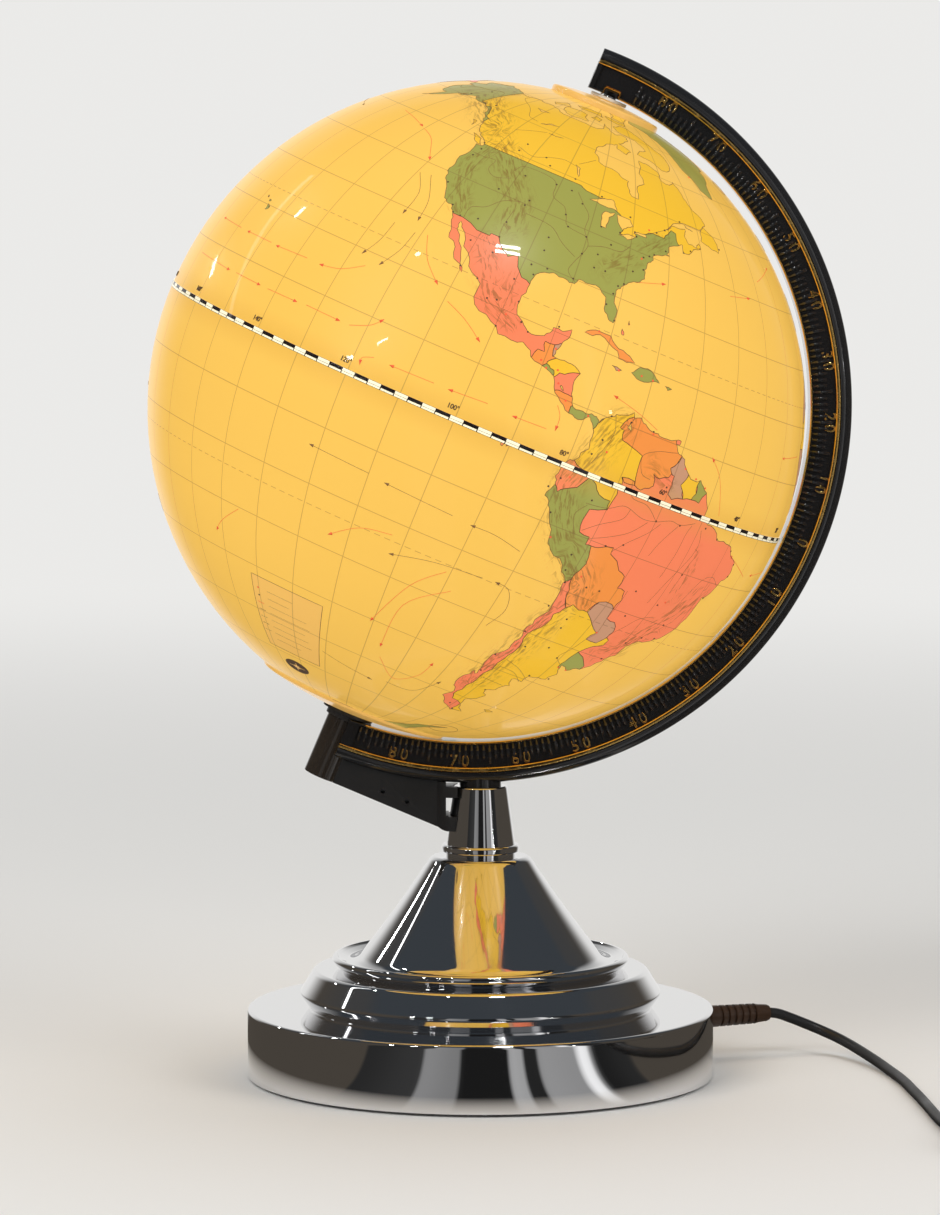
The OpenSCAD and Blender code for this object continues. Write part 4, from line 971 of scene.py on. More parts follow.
# Coasts of islands, each a name for its colour and its outline.
ISLANDS = """
canada: -80,73.7 -76,72.5 -68,70 -62,66.5 -65,62.8 -68,62.5 -72,64 -78,64.5 -73,67 -77,69.5 -85,70 -89,72
 -85,73.7
canada: -116,70 -117,72.5 -110,73 -105,72.5 -102,69.5 -110,68.6
canada: -125,72 -121,74.4 -116,73 -123,71
canada: -90,77 -80,76.3 -76,79 -62,82.5 -75,83 -90,82 -95,80.5 -88,79
canada: -95,76 -80,75.7 -81,74.5 -92,74.7
canada: -110,74.7 -115,75.5 -107,76.5 -98,76.7 -96,74.5
canada: -100,73.8 -96,73 -97,71.3 -102,72
canada: -87,65.5 -81,64.2 -83,62.7 -87,63.5
canada: -59.3,47.8 -57,51.3 -55.5,50.5 -53,48.5 -53.3,46.7 -56,47
canada: -128.2,50.7 -125,50 -123.4,48.4 -125.5,48.8
canada: -133,54 -131.7,54 -131.2,52.3
canada: -64.4,49.9 -61.8,49.2 -64,49.4
canada: -61.5,45.7 -60.5,47 -59.9,46
greenland: -73,78.2 -60,76 -54,71.5 -54,68.5 -52,65 -49,61.3 -44,60 -40,64 -33,68 -24,70 -20,74 -19,79
 -12,81.5 -32,83.5 -52,82 -65,81
iceland: -24,65.5 -22,66.4 -16,66.5 -13.7,65 -18.5,63.5 -22.5,64
cuba: -84.9,21.9 -83,23 -80,23 -77,21.5 -74.2,20.2 -77.5,19.9 -78,21 -82,22.5
haiti: -74.4,18.5 -73,19.9 -70,19.7 -68.5,18.6 -71.5,17.8
jamaica: -78.3,18.4 -76.3,18.2 -77.3,17.8
haiti: -67.2,18.5 -65.7,18.4 -66.5,17.95
bahamas: -78.3,25 -77.7,24 -78.1,24
bahamas: -77.3,26.8 -77,26.2 -77.3,26
trinidad: -61.9,10.7 -60.9,10.8 -61,10.1 -61.8,10.1
hawaii: -156,20.2 -154.9,19.5 -155.8,19
hawaii: -156.8,21 -156,20.8 -156.6,20.6
hawaii: -158.3,21.6 -157.7,21.3 -158.1,21.3
ecuador: -91.4,-0.1 -91,-0.2 -91.2,-1 -91.5,-0.7
ecuador: -90.6,-0.3 -90.2,-0.5 -90.5,-0.8
argentina: -61,-51.6 -58,-51.5 -59.5,-52.2
chile: -74,-42 -73.5,-43.2 -74.3,-43.2
britain: -5,50 1.3,51.2 1.5,52.8 0,53.5 -2,56 -2,57.7 -4,57.6 -3.2,58.6 -5,58.5 -6,56.5 -3,54.5 -4.5,53.3
 -5,51.8 -3,51.3
ireland: -10,52 -6.3,52.2 -5.6,54.6 -8,55.2 -10,54
norway: 11,79.5 20,80.2 27,80 17,76.7
russia: 52,71 57,74.5 68,77 58,75.5 54,73
russia: 142.2,54.2 143,50 143.5,46.8 142,46.5 142,51
japan: 130,33 131,34.5 136,36 140,40 141.3,41.3 142,39.5 140.7,35.7 137,34.6 132,31.5
japan: 140.5,42 141.7,45.4 145.2,43.5 143,42
china: 108.8,19.3 110.8,20 109.7,18.3
taiwan: 120.2,23 121.8,25.2 121,22
sri_lanka: 79.9,8 80.4,9.6 81.8,7.3 80.6,6
madagascar: 43.6,-22.5 44.5,-20 44.4,-16.5 49.2,-12.2 50.3,-15.8 47.3,-25 45,-25.4
indonesia: 95.3,5.5 98.5,3.5 103.5,-1 106,-3.2 105.7,-5.8 102,-4 98.7,0
indonesia: 105.3,-6.8 108.5,-6.6 114.4,-7.7 114.2,-8.6 108,-7.8
indonesia: 109,0.5 109.8,2 112,3 115,5.3 117,7 119,5 117.5,1 116.3,-3.8 111.5,-3.3 110,-1.5
indonesia: 119.5,0 121,1.2 125,1.5 121,0.3 123,-1 121.5,-2 122.8,-5 120.5,-3 120.3,-5.6 119.4,-3.4
philippines: 120,16 120.8,18.5 122.2,18.3 121.6,15.5 124,12.8 121,13.8
philippines: 122,7 123.5,8.7 126,9.5 126.4,7 125.4,5.7
guinea: 131,-0.8 134,-0.8 138,-1.7 145,-4.3 148,-7.5 150.7,-10.3 147,-9.5 143,-9 138,-8 133.7,-3.5
zealand: 172.7,-34.5 175.5,-37 178.4,-37.8 176,-41.3 175,-41.5 173.8,-39.3
zealand: 172.8,-40.6 174,-41.8 171,-44.2 170.5,-46 168,-46.6 166.7,-45.8
australia: 144.8,-40.8 148.3,-41 147,-43.6
antilles: 164,-20.2 167,-22.4 165,-21.4
antilles: 177.3,-17.8 178.6,-17.8 178.3,-18.3
russia: 95,79.3 105,79.2 100,78
italy: 12.5,38 15.6,38.2 15.1,36.7
italy: 8.3,40.8 9.6,41 9.5,39.2 8.5,39
crete: 23.6,35.5 26.2,35.2 24.5,35
cyprus: 32.4,35 34.5,35.6 33,34.7
"""
# Lands, painted one over the other in this order: each is exact only where it meets those before it.
LANDS = """
panama: -84,11 -76,11 -76,6 -84,6
costa_rica: -82.5,9.7 -82.9,9.4 -82.9,7.5 -87,9.5 -86,12 -83,11.5
nicaragua: -83.3,10.9 -84.9,11 -85.7,11.1 -86.5,10.8 -88.5,12.8 -87.5,14.2 -83,16 -82,13
honduras: -83,15 -84.5,14.7 -85.8,13.9 -86.7,13.8 -87.4,12.8 -88,12.5 -89.8,14 -89.5,16.3 -86,17 -83,16
el_salvador: -87.6,12.8 -87.8,13.8 -88.5,13.9 -89.3,14.4 -90.2,13.8 -90.5,13 -88,12.5
guatemala: -90.1,13.5 -89.4,14.4 -89.2,15 -88.2,15.8 -88,16.3 -88.9,15.9 -88,18.5 -92,18.5 -93,15 -91,13
belize: -88.9,15.9 -89.2,17.8 -88.3,18.6 -87,18.3 -87.5,16
mexico: -120,34 -96,34 -95,20 -86,23 -86.5,18.6 -87.5,18.3 -88.3,18.5 -89.1,17.9 -91,17.8 -91,17.2
 -90.5,16.1 -91.7,16.1 -92.2,14.5 -92.5,13 -107,16 -118,28
usa: -126,48.4 -123,49 -95.2,49 -94.6,48.7 -92,48.2 -89.5,48 -88.4,48.3 -84.7,46.5 -83.5,46 -82.4,45
 -82.5,42.8 -83.1,42.1 -79,42.8 -79.2,43.4 -76.5,44.2 -74.8,45 -71.4,45 -70.3,46.2 -69.2,47.4 -67.8,47.1
 -67.8,45.7 -66.9,44.7 -64,42 -70,36 -76,30 -79,24 -83,24.2 -90,27.5 -96.5,25.5 -97.2,25.9 -99.2,26.5
 -101.4,29.8 -103.2,29 -104.5,29.7 -106.5,31.8 -108.2,31.8 -108.2,31.3 -111,31.3 -114.8,32.5 -117.1,32.5
 -122,33 -128,42
alaska: -141,72 -141,60.2 -139,60.2 -137.5,59 -135.3,59.7 -133.5,58.4 -131.8,56.6 -130,55.9 -130,54.6
 -135,54 -160,52 -168.9,60 -168.9,73
venezuela: -66.9,1.2 -65.5,0.8 -64,1.6 -63.4,2.2 -64.2,4.1 -62.8,3.7 -61,4.5 -60.7,5.2 -61.3,6 -60.3,7.1
 -59.8,8.4 -60,11.5 -72,13 -74,9 -69,1
colombia: -69.9,-4.3 -69.4,-1.2 -70,0.5 -69.2,0.6 -69.8,1.7 -67.2,1.8 -66.9,1.2 -67.5,3.8 -67.6,6.2 -70,6.9
 -72.2,7.4 -72.5,9.1 -73.3,9.2 -72.3,11.1 -71.3,11.8 -72,13.5 -76,12 -77.2,8.7 -77.4,8.5 -77.9,7.2 -79,6
 -81,1.5 -80,-5
ecuador: -82,-5 -75,-5 -75.3,0 -75.5,0.1 -77.5,0.6 -78.9,1.4 -80,2 -83,0
guyana: -59.8,8.5 -60.3,7.1 -61.3,6 -60.7,5.2 -60,5 -59.8,3.5 -59.9,1.8 -58.8,1.2 -56.5,1.9 -57.3,3.4
 -57.2,5.3 -56.5,8
suriname: -57.1,6.3 -57.3,5.2 -58,4 -57.3,3.3 -56.5,1.9 -54.6,2.3 -54,3.5 -54.4,5 -54,6.5
guiana: -54,6.2 -54.4,5 -54,3.5 -54.6,2.3 -52.6,2.2 -51.6,4.2 -51,5.5
peru: -70,-4.2 -72.9,-5.2 -73.2,-7.3 -72.7,-9.4 -70.6,-9.6 -70.6,-11 -69.5,-10.9 -68,-13 -69,-18.5 -73,-19
 -80,-12 -83,-5 -81,-3 -80.3,-3.5 -79.5,-4.5 -78.4,-3.5 -76.6,-2.6 -75.2,-0.2 -73.7,-1 -72.4,-2.4 -70.1,-2.7
argentina: -57.6,-30.2 -55.8,-28.2 -53.8,-27.2 -53.7,-26 -54.6,-25.6 -58,-24 -62,-21.5 -68,-21.5 -73,-30
 -76,-50 -70,-57 -62,-56 -60,-42 -55,-38 -58,-34
uruguay: -57.6,-30.2 -55.6,-30.9 -53.2,-32.7 -53,-34.5 -54,-36 -58.6,-34.6 -58.3,-33 -58.2,-32
bolivia: -69.5,-10.9 -68,-10.7 -65.4,-9.8 -65.3,-11 -62,-13.2 -60.3,-13.8 -60.2,-16.2 -58.4,-16.3 -57.7,-18
 -58.1,-20.1 -61.8,-19.7 -62.5,-21 -62.7,-22.2 -64.5,-22.4 -66.2,-21.8 -67.2,-22.8 -68.5,-21 -69.6,-17.5
 -69,-15.5 -68.9,-12.7
paraguay: -58.1,-20.1 -57.9,-22.1 -55.7,-22.3 -54.3,-24 -54.6,-25.6 -55.8,-27.3 -58.6,-27.2 -57.6,-25.4
 -60,-24 -62.6,-22.2 -62.2,-20.5 -61.8,-19.7 -59.1,-19.3
chile: -70.4,-18.35 -69.5,-17.5 -68.7,-19.5 -68.2,-21.5 -67.2,-22.8 -68.5,-24.8 -68.4,-27 -69.8,-29
 -70.4,-31.5 -69.8,-33.5 -70.5,-36 -71.1,-38.5 -71.8,-42 -71.8,-45 -72.3,-48 -73,-50 -72,-51.5 -68.4,-52.3
 -68.6,-54.8 -67,-56.2 -76,-56.2 -79,-48 -76,-35 -72.5,-18.3
scandinavia: 4,57 11.5,59 12,62 14,66 20,69 28,71.5 25,72 4,66
sweden: 11.3,59 12,62 14,66 20,69 24,66 19,62 20,57 13,54.8
finland: 20,69 28,70 29.5,66 30,62 28,60 20,59.5 21,64 24,66
iberia: -10,35.5 0,35.5 3.3,42.4 -1.8,43.4 -10,44
france: -1.8,43.4 3.2,42.4 7.5,43.8 7,46 7.6,47.6 8.2,49 2.5,51.2 -6,49.5
italy: 7.5,43.8 7,46 13.5,46.6 14,45 20,40 14,36 8,42
germany: 6,51.8 6.5,49.5 8.2,49 7.6,47.6 13,47.6 12.2,50.3 15,51 14.3,54.5 9,55 8,54.5
poland: 15,51 14.3,54.5 23,55 24,51 22.5,49 18,49.5
balkans: 13.5,46.6 13,47.6 17,48 22.5,48.2 28,45.2 29,41 24,40 24,35 18,38
ukraine: 24,51 31,52.2 40,49.5 38,47 33,44 28,45.2 22.5,48.2 22.5,49
turkey: 25.8,40 28,42 41.5,41.5 44.5,39.7 44.5,37 36,36 27,35.8
kazakh: 46.5,48.5 51,51.5 61,50.8 62,54 71,54.5 77,53.5 87,49 82,45 80,42 70,42 66,41.5 56,41.3 52,42
turan: 52,42 56,41.3 66,41.5 70,42 75,40 75,37 66,37.5 61,35.5 54,37.3
iran: 44.5,39.7 48.5,38.4 54,37.3 61,36.5 61,31 62.5,26.5 61.5,24.5 48,30 45.5,34
iraq: 42,37 44.8,37 45.5,34 48,30 47,29 40,31.8 38.8,33.5
arabia: 35,29.3 38.8,33.5 40,31.8 47,29 49,27.5 60,26 60,20 44,12 34,27
afghan: 61,35.5 66,37.5 71,38.4 74.8,37.2 70,33.5 66.3,29.8 61,29.5
pakistan: 61.5,24.5 63,27.5 61,29.5 66.3,29.8 70,33.5 75,37 77.5,34.5 74,31 70,27.5 68,23.5
india: 68,23.5 70,27.5 74,31 78.5,34.5 79,31 88,27.5 97.5,28 94,23 92,21 89,22 88.5,20 80,5 76,6
tibet: 73.5,39.5 80,42 82,45 87,49 91,45.2 97,42.7 105,41.7 112,43.5 120,46.7 116,49.8 120,53.3 126,52.8
 131,47.7 135,48.3 131,42.8 128,42 124,40 122,30 117,22 108,21 105,23 101.5,21.3 98.5,24 97.5,28 88,27.5
 79,31 78.5,34.5
mongolia: 87,49 91,45.2 97,42.7 105,41.7 112,43.5 120,46.7 116,49.8 107,49.7 98,52
burma: 92,21 94,23 97.5,28 98.5,24 101,21.5 98,19 99,10 97,14
siam: 98,19 101,21.5 102,18 105.5,15 103,12 100,5.5 98,9
indochina: 101,21.5 105,23 108,21.2 110,15 107,8 103,10 102.5,13 105.5,15 102,18
malaya: 100,6.5 103,6 105,1 100,2.5
korea: 124,40 128,42 131,42.5 130,34 125,34
morocco: -17,27.7 -8.7,27.7 -8.7,28.7 -1.2,32.3 -2,36 -12,36
sahara: -17.5,20 -13,23 -8.7,27.7 -17,27.7
algeria: -8.7,27.3 -1.2,32.3 -2,36 8.5,37.5 9.8,30 10,24.5 3,19 1.5,21 -4.8,25
libya: 9.8,30 11,34 25,33 25,20 15.5,23.2 10,24.5
egypt: 25,33 36,32 37.5,22 25,22
sudan: 25,22 37.5,22 36.3,14.5 33,4 27,8 23,11 24,19.7
ethiopia: 36.3,14.5 43,12.6 48,8 42,4 36,4.4 33,8
somalia: 43,12.6 53,13 45,-1.5 41,-2 42,4 48,8
kenya: 34,4.5 42,4 41,-2 39,-4.7 34,-1
tanzania: 30,-1 34,-1 39,-4.7 42,-10.5 34.5,-11.5 30,-8
mozambique: 42,-10.5 34.5,-11.5 32.8,-17 31.5,-22.3 32,-27 42,-22
zambia: 24,-11 30,-8 34.5,-11.5 32.8,-17 25.3,-17.8 22,-17
congo: 12,-5.8 17,-5 18.5,4.5 27.4,5 30.5,3.5 30,-8 28.5,-13 22,-11 17,-8
angola: 11,-5.8 17,-8 22,-11 22,-17.5 11,-17.2
namibia: 11,-17.2 21,-17.8 20,-28.5 14,-29
botswana: 21,-18 25.3,-17.8 29.3,-22.2 25.5,-25.7 20,-25
zimbabwe: 25.3,-17.8 30,-15.7 32.8,-17 31.3,-22.4 29.3,-22.2
south_africa: 14,-29 20,-28.5 20,-25 25.5,-25.7 31.3,-22.4 34,-27 28,-36 17,-36
nigeria: 2.7,3 2.7,13 13.5,13.5 14,11 9,4
chad: 15.5,23.2 24,19.7 22.5,12 15,9 13.5,13.7
niger: 0.5,14.5 4,19 12,23.5 15.5,23.2 13.5,13.7 2.7,12.5
mali: -12,12 -12,15.3 -5,15.5 -6.5,25 -4.8,25 3,19 4,16 -3,13.5 -6,10.5
mauritania: -17.5,16.3 -12,15.3 -5,15.5 -6.5,25 -13,23 -17.5,20
guinea_coast: -18,16.3 -12,15.3 -12,12 -6,10.5 -7.5,3.5 -16,6
ghana: -6,10.5 -3,13.5 2.7,12.5 2.7,4 -7.5,3.5
cameroon: 9,3 14,11 15,9 16,2 9,-1
yemen: 42.5,17 52,19 53,14 43,12
"""
SEAS = [places(text) for text in """
-92,46.7 -89,48 -86,48.7 -84.6,46.6 -87,46.5 -90,46.8|-87.8,42 -86.5,42 -86.3,44.5 -85,46 -87.5,45.5
-88,43|-84.5,45.9 -82.5,43 -81.5,44 -80,44.7 -81,45.9|-83.3,41.8 -81,41.5 -79,42.8 -81,42.7|-79.7,43.3
-76.3,43.5 -76.6,44.1 -79,43.8|-98.5,53.5 -96.5,50.8 -97,53|-116,61 -110,62.5 -113,62.4|-124,66 -118,66
-121,65.2|-111,59 -106,59.4 -108,59|-85.7,12 -85,11.2 -85.9,11.8|31.8,0.3 34,0.3 33.3,-2.5 31.9,-2|47,45
51,46.8 53,45.2 50.8,44 53,41 54,37 49.5,37.5 49.6,40.5 47.5,43|58.5,45 61,46.5 60.5,43.5|104,51.5
109.5,55.5 107,52|29.2,-3.5 31,-8.5 29.6,-6|-71.8,10.8 -71.2,9.2 -72,9.6|32.5,29.8 37,25 43,12.8 42.3,14.5
35.5,24.5|30,61.5 31,60.2 32.8,60.5 31.5,61.6""".split("|")]


# ---------------------------------------------------------------- the ball's two halves
# Injection moulded half shells, one let into the other at the equator. The
# lands are flat inks on the plastic, and the lamp shows through them all.
INKS = {"sea": (0.99, 0.59, 0.105), "green": (0.33, 0.35, 0.075), "gold": (0.95, 0.55, 0.032),
        "coral": (1.0, 0.235, 0.11), "orange": (0.95, 0.30, 0.06), "mauve": (0.60, 0.31, 0.19),
        "cream": (0.96, 0.55, 0.13), "moss": (0.36, 0.35, 0.075)}
TINTS = {"green": "usa peru uruguay guiana panama haiti el_salvador kazakh egypt iberia poland kenya "
                  "zimbabwe japan burma mali nigeria hawaii sweden turan south_africa ireland guinea angola",
         "gold": "canada colombia argentina suriname honduras tibet algeria sudan iran germany zealand "
                 "tanzania philippines indochina iceland arabia mauritania botswana madagascar",
         "coral": "mexico brazil chile ecuador nicaragua russia india libya france ethiopia congo korea "
                  "indonesia turkey norway namibia chad ghana trinidad bahamas antilles",
         "orange": "venezuela bolivia guatemala costa_rica cuba mongolia pakistan iraq ukraine australia "
                   "mozambique niger morocco siam finland italy yemen cameroon",
         "mauve": "guyana paraguay belize jamaica britain balkans afghan somalia zambia malaya taiwan sahara "
                  "scandinavia guinea_coast sri_lanka crete cyprus china",
         "moss": "greenland antarctica alaska"}
COLOUR = {land: ink for ink, lands in TINTS.items() for land in lands.split()}
south_r = ball_r + 0.2
shell_t = 1.6
north_edge, south_edge = 86.79, -74.24
west, east = -169.0, 191.0
dice = random.Random(7)


def wandering(outline, depth, wild):
    """Breaks an outline into finer stretches that stray a little, save along parallels and meridians."""
    for _ in range(depth):
        finer = []
        for a, b in zip(outline, outline[1:] + outline[:1]):
            stretch = math.cos(math.radians((a[1] + b[1]) / 2))
            throw = 0 if a[0] == b[0] or a[1] == b[1] else dice.uniform(-wild, wild)
            x = (a[0] + b[0]) / 2 - (b[1] - a[1]) * throw / stretch
            y = (a[1] + b[1]) / 2 + (b[0] - a[0]) * stretch * throw
            finer += [a, (min(max(x, west), east), min(max(y, south_edge), north_edge))]
        outline = finer
    return outline


def stepped(outline, reach=2.5):
    """Splits the long stretches of a closed outline, so that they bend with the ball."""
    out = []
    for (ax, ay), (bx, by) in zip(outline, outline[1:] + outline[:1]):
        n = max(1, math.ceil(max(abs(bx - ax), abs(by - ay)) / reach))
        out += [(ax + (bx - ax) * k / n, ay + (by - ay) * k / n) for k in range(n)]
    return out


def listed(text):
    """Names and outlines from lines of 'name: pairs', which run on where a line starts with a blank."""
    rows = text.strip().replace("\n ", " ").split("\n")
    return [(name, places(pairs)) for name, pairs in (row.split(": ") for row in rows)]


def within(spots, outline):
    """Which spots an outline holds."""
    x, y = spots[:, 0], spots[:, 1]
    inside = np.zeros(len(x), bool)
    for (ax, ay), (bx, by) in zip(outline, outline[1:] + outline[:1]):
        if ay != by:
            inside ^= ((ay > y) != (by > y)) & (x < (bx - ax) * (y - ay) / (by - ay) + ax)
    return inside


mainlands = [("canada", AMERICAS), ("russia", EURASIA), ("congo", AFRICA), ("australia", AUSTRALIA),
             ("antarctica", ANTARCTIC)]
mainlands = [(name, wandering([(x, max(y, south_edge)) for x, y in outline], *rough))
             for (name, outline), rough in zip(mainlands, [(2, 0.17)] * 4 + [(3, 0.05)])]
brazil = places("-85,0 -79,1.3 -75,2 -67,2.5 -60,6 -50,8 -30,0 -30,-60 -85,-60")
lands = [("brazil", brazil), *[(name, wandering(outline, 1, 0.12)) for name, outline in listed(LANDS)]]
islands = [(name, wandering(outline, 2, 0.15)) for name, outline in listed(ISLANDS)]
seas = [wandering(outline, 2, 0.12) for outline in SEAS]
key_box = places("-132,-42 -112,-42 -112,-59 -132,-59")

knots, ties = [], []
for outline in [o for _, o in [*mainlands, *lands, *islands]] + seas + [key_box]:
    first = len(knots)
    fine = stepped(outline)
    knots += fine
    ties += [(first + k, first + (k + 1) % len(fine)) for k in range(len(fine))]
grid_step = 3
grid_count = round((east - west) / grid_step)
rows = [south_edge, *range(-72, 86, grid_step), north_edge]
for lat in rows:
    first = len(knots)
    knots += [(west + grid_step * k, lat) for k in range(grid_count + 1)]
    if lat in (rows[0], 0, rows[-1]):
        ties += [(first + k, first + k + 1) for k in range(grid_count)]
# The Pacific and the Americas get more knots, between those of the grid.
half_step = grid_step / 2
knots += [(west + half_step * (k + 1), -54 + grid_step * m + half_step * (k % 2))
          for k in range(90) for m in range(42)]
spots, edges, faces = geometry.delaunay_2d_cdt([Vector(k) for k in knots], ties, [], 0, 1e-5)[:3]
spots = np.array([tuple(s) for s in spots])
faces = np.array([f for f in faces if len(f) == 3])
middles = spots[faces].mean(axis=1)

names = ["sea", "cream", *sorted({n for n, _ in [*mainlands, *lands, *islands]})]
owner = np.zeros(len(faces), int)
for name, outline in mainlands:
    owner[within(middles, outline)] = names.index(name)
ground = owner > 0
for name, outline in lands:
    owner[within(middles, outline) & ground & (owner != names.index("antarctica"))] = names.index(name)
for name, outline in islands:
    owner[within(middles, outline)] = names.index(name)
for outline in seas:
    owner[within(middles, outline)] = 0
owner[within(middles, key_box)] = 1

RANGES = """
2.2: -128,56 -122,52 -115.5,48.5 -111,44 -106.5,39.5 -105.5,35
1.5: -121.5,48 -121.8,43 -119,37.5 -116.5,34
2.8: -152,61.5 -147,63.5 -141,61.5 -135,59 -128,56
1.2: -160,68 -142,68.5
1.6: -108.5,30 -105,25 -103,21 -98,18.5
1.0: -101,26 -99,21
1.2: -71,45 -76,41 -81,37 -85,34
2.4: -73,10 -75,6 -77,1 -78.5,-3 -76.5,-9 -73,-14 -69,-17.5 -67,-22 -69,-28 -70,-33 -71,-38 -72,-44
1.4: -72,-12 -66,-17 -64.5,-21
1.9: -40,-11 -43,-17 -47,-22 -50,-27 -53,-29
1.0: -47,-7 -47,-14
1.0: -65,5 -60,3
1.2: 6,45 14,47
2.0: 73,36 80,31 88,28 96,29
1.0: 59,68 60,60 58,54
0.9: 40,43.5 48,41.5
1.0: -8,31 5,35.5
1.2: 28,-31 31,-26
1.6: 36,12 37,5 36,-2 35,-8
1.2: 145,-17 150,-26 149,-36
1.0: 7,60 15,66 20,69
1.3: 45,36 55,28
1.6: 70,41 88,43
1.6: 86,49 100,50
1.8: 126,70 135,62 150,64
"""
foothills = 1.6  # how far a range reaches, in widths of its own
height = np.zeros(len(spots))
across_range = np.zeros(len(spots))
for wide, path in listed(RANGES):
    wide = float(wide)
    nearest = np.full(len(spots), 99.0)
    for (ax, ay), (bx, by) in zip(path, path[1:]):
        squeeze = math.cos(math.radians((ay + by) / 2))
        run, rise = (bx - ax) * squeeze, by - ay
        dx, dy = (spots[:, 0] - ax) * squeeze, spots[:, 1] - ay
        share = np.clip((dx * run + dy * rise) / (run * run + rise * rise), 0, 1)
        away = np.hypot(dx - share * run, dy - share * rise)
        side = np.sign(dx * rise - dy * run) * away
        closer = away < nearest
        nearest = np.minimum(nearest, away)
        taken = closer & (away < wide * foothills)
        across_range[taken] = side[taken]
    height = np.maximum(height, np.clip(foothills - nearest / wide, 0, 1))


front = 96.0


def on_ball(lon, lat, r):
    """The place of a longitude and latitude at a radius in mm, in the stand's frame. 96 west faces front."""
    lon, lat = math.radians(lon + front), math.radians(lat)
    out = Vector((math.cos(lat) * math.sin(lon), -math.cos(lat) * math.cos(lon), math.sin(lat)))
    return to_ball @ (out * MM * r)


def chart_frame(vector, tree):
    """Longitude and latitude in degrees of a place on the ball, and how much a parallel shrinks there."""
    own = add(tree, "ShaderNodeMapping", {"Vector": vector, "Location": tuple(ball_middle * MM),
                                          "Rotation": (0, axis_tilt, 0)}, vector_type="TEXTURE")
    part = add(tree, "ShaderNodeSeparateXYZ", {"Vector": own.outputs[0]})
    x, y, z = (part.outputs[k] for k in "XYZ")
    from_axis = maths(tree, "ADD", maths(tree, "MULTIPLY", x, x), maths(tree, "MULTIPLY", y, y))
    lat = maths(tree, "ARCTAN2", z, maths(tree, "SQRT", from_axis))
    lon = maths(tree, "DEGREES", maths(tree, "ARCTAN2", x, maths(tree, "MULTIPLY", y, -1.0)))
    return maths(tree, "SUBTRACT", lon, front), maths(tree, "DEGREES", lat), maths(tree, "COSINE", lat)


def ruled(tree, value, pitch):
    """How far a value lies from the nearest multiple of a pitch."""
    return maths(tree, "ABSOLUTE", maths(tree, "WRAP", value, pitch / 2, -pitch / 2))


def line(tree, distance, half=0.05):
    """1 on a line, falling to 0 at its edge."""
    return ranged(tree, distance, half, half * 2.2, 1.0, 0.0)


printed, tree, place = finish_of("printed map")
lon, lat, squeeze = chart_frame(place, tree)
ink = add(tree, "ShaderNodeAttribute", attribute_name="ink").outputs["Color"]
high = add(tree, "ShaderNodeAttribute", attribute_name="height").outputs["Fac"]
ridge = add(tree, "ShaderNodeAttribute", attribute_name="across_range").outputs["Fac"]
meridian = line(tree, maths(tree, "MULTIPLY", ruled(tree, lon, 10.0), squeeze))
parallel = line(tree, ruled(tree, lat, 10.0))
tropic = line(tree, maths(tree, "ABSOLUTE", maths(tree, "SUBTRACT", maths(tree, "ABSOLUTE", lat), 23.44)))
dash = maths(tree, "GREATER_THAN", ruled(tree, lon, 2.0), 0.4)
web = maths(tree, "MAXIMUM", maths(tree, "MAXIMUM", meridian, parallel),
            maths(tree, "MULTIPLY", tropic, dash))
streak = add(tree, "ShaderNodeCombineXYZ", {"X": maths(tree, "MULTIPLY", ridge, 1.7),
                                            "Y": maths(tree, "MULTIPLY", lat, 0.35),
                                            "Z": maths(tree, "MULTIPLY", lon, 0.2)})
shade = ranged(tree, noise(tree, streak.outputs[0], 1.4, 3, 0.6), 0.48, 0.62)
shade = maths(tree, "MULTIPLY", shade, high)
mottle = noise(tree, place, 14, 3)
tone = mixed(tree, maths(tree, "MULTIPLY", mottle, 0.10), ink, (0.80, 0.40, 0.06, 1))
tone = mixed(tree, maths(tree, "MULTIPLY", shade, 0.62), tone, (0.22, 0.105, 0.02, 1))
# Painted shade: the print is darker near the equator, where the two walls overlap.
overlap_shade = ranged(tree, maths(tree, "ABSOLUTE", lat), 0.0, 4.0, 0.35, 0.0)
tone = mixed(tree, overlap_shade, tone, (0.70, 0.36, 0.05, 1))
tone = mixed(tree, maths(tree, "MULTIPLY", web, 0.42), tone, (0.20, 0.10, 0.035, 1))
# The lamp's light through the plastic is painted: the print glows, and its glow is painted dimmer towards the
# poles as painted shade.
GLOW, SHARE = 0.65, 0.42
surfaced(tree, mixed(tree, 1.0, tone, (SHARE, SHARE, SHARE, 1), "MULTIPLY"), 0.32,
         **{"Specular IOR Level": 0.25, "Emission Color": tone, "Coat Weight": 0.3, "Coat Roughness": 0.03,
            "Emission Strength": ranged(tree, squeeze, 0.2, 0.85, 0.8 * GLOW, GLOW)})


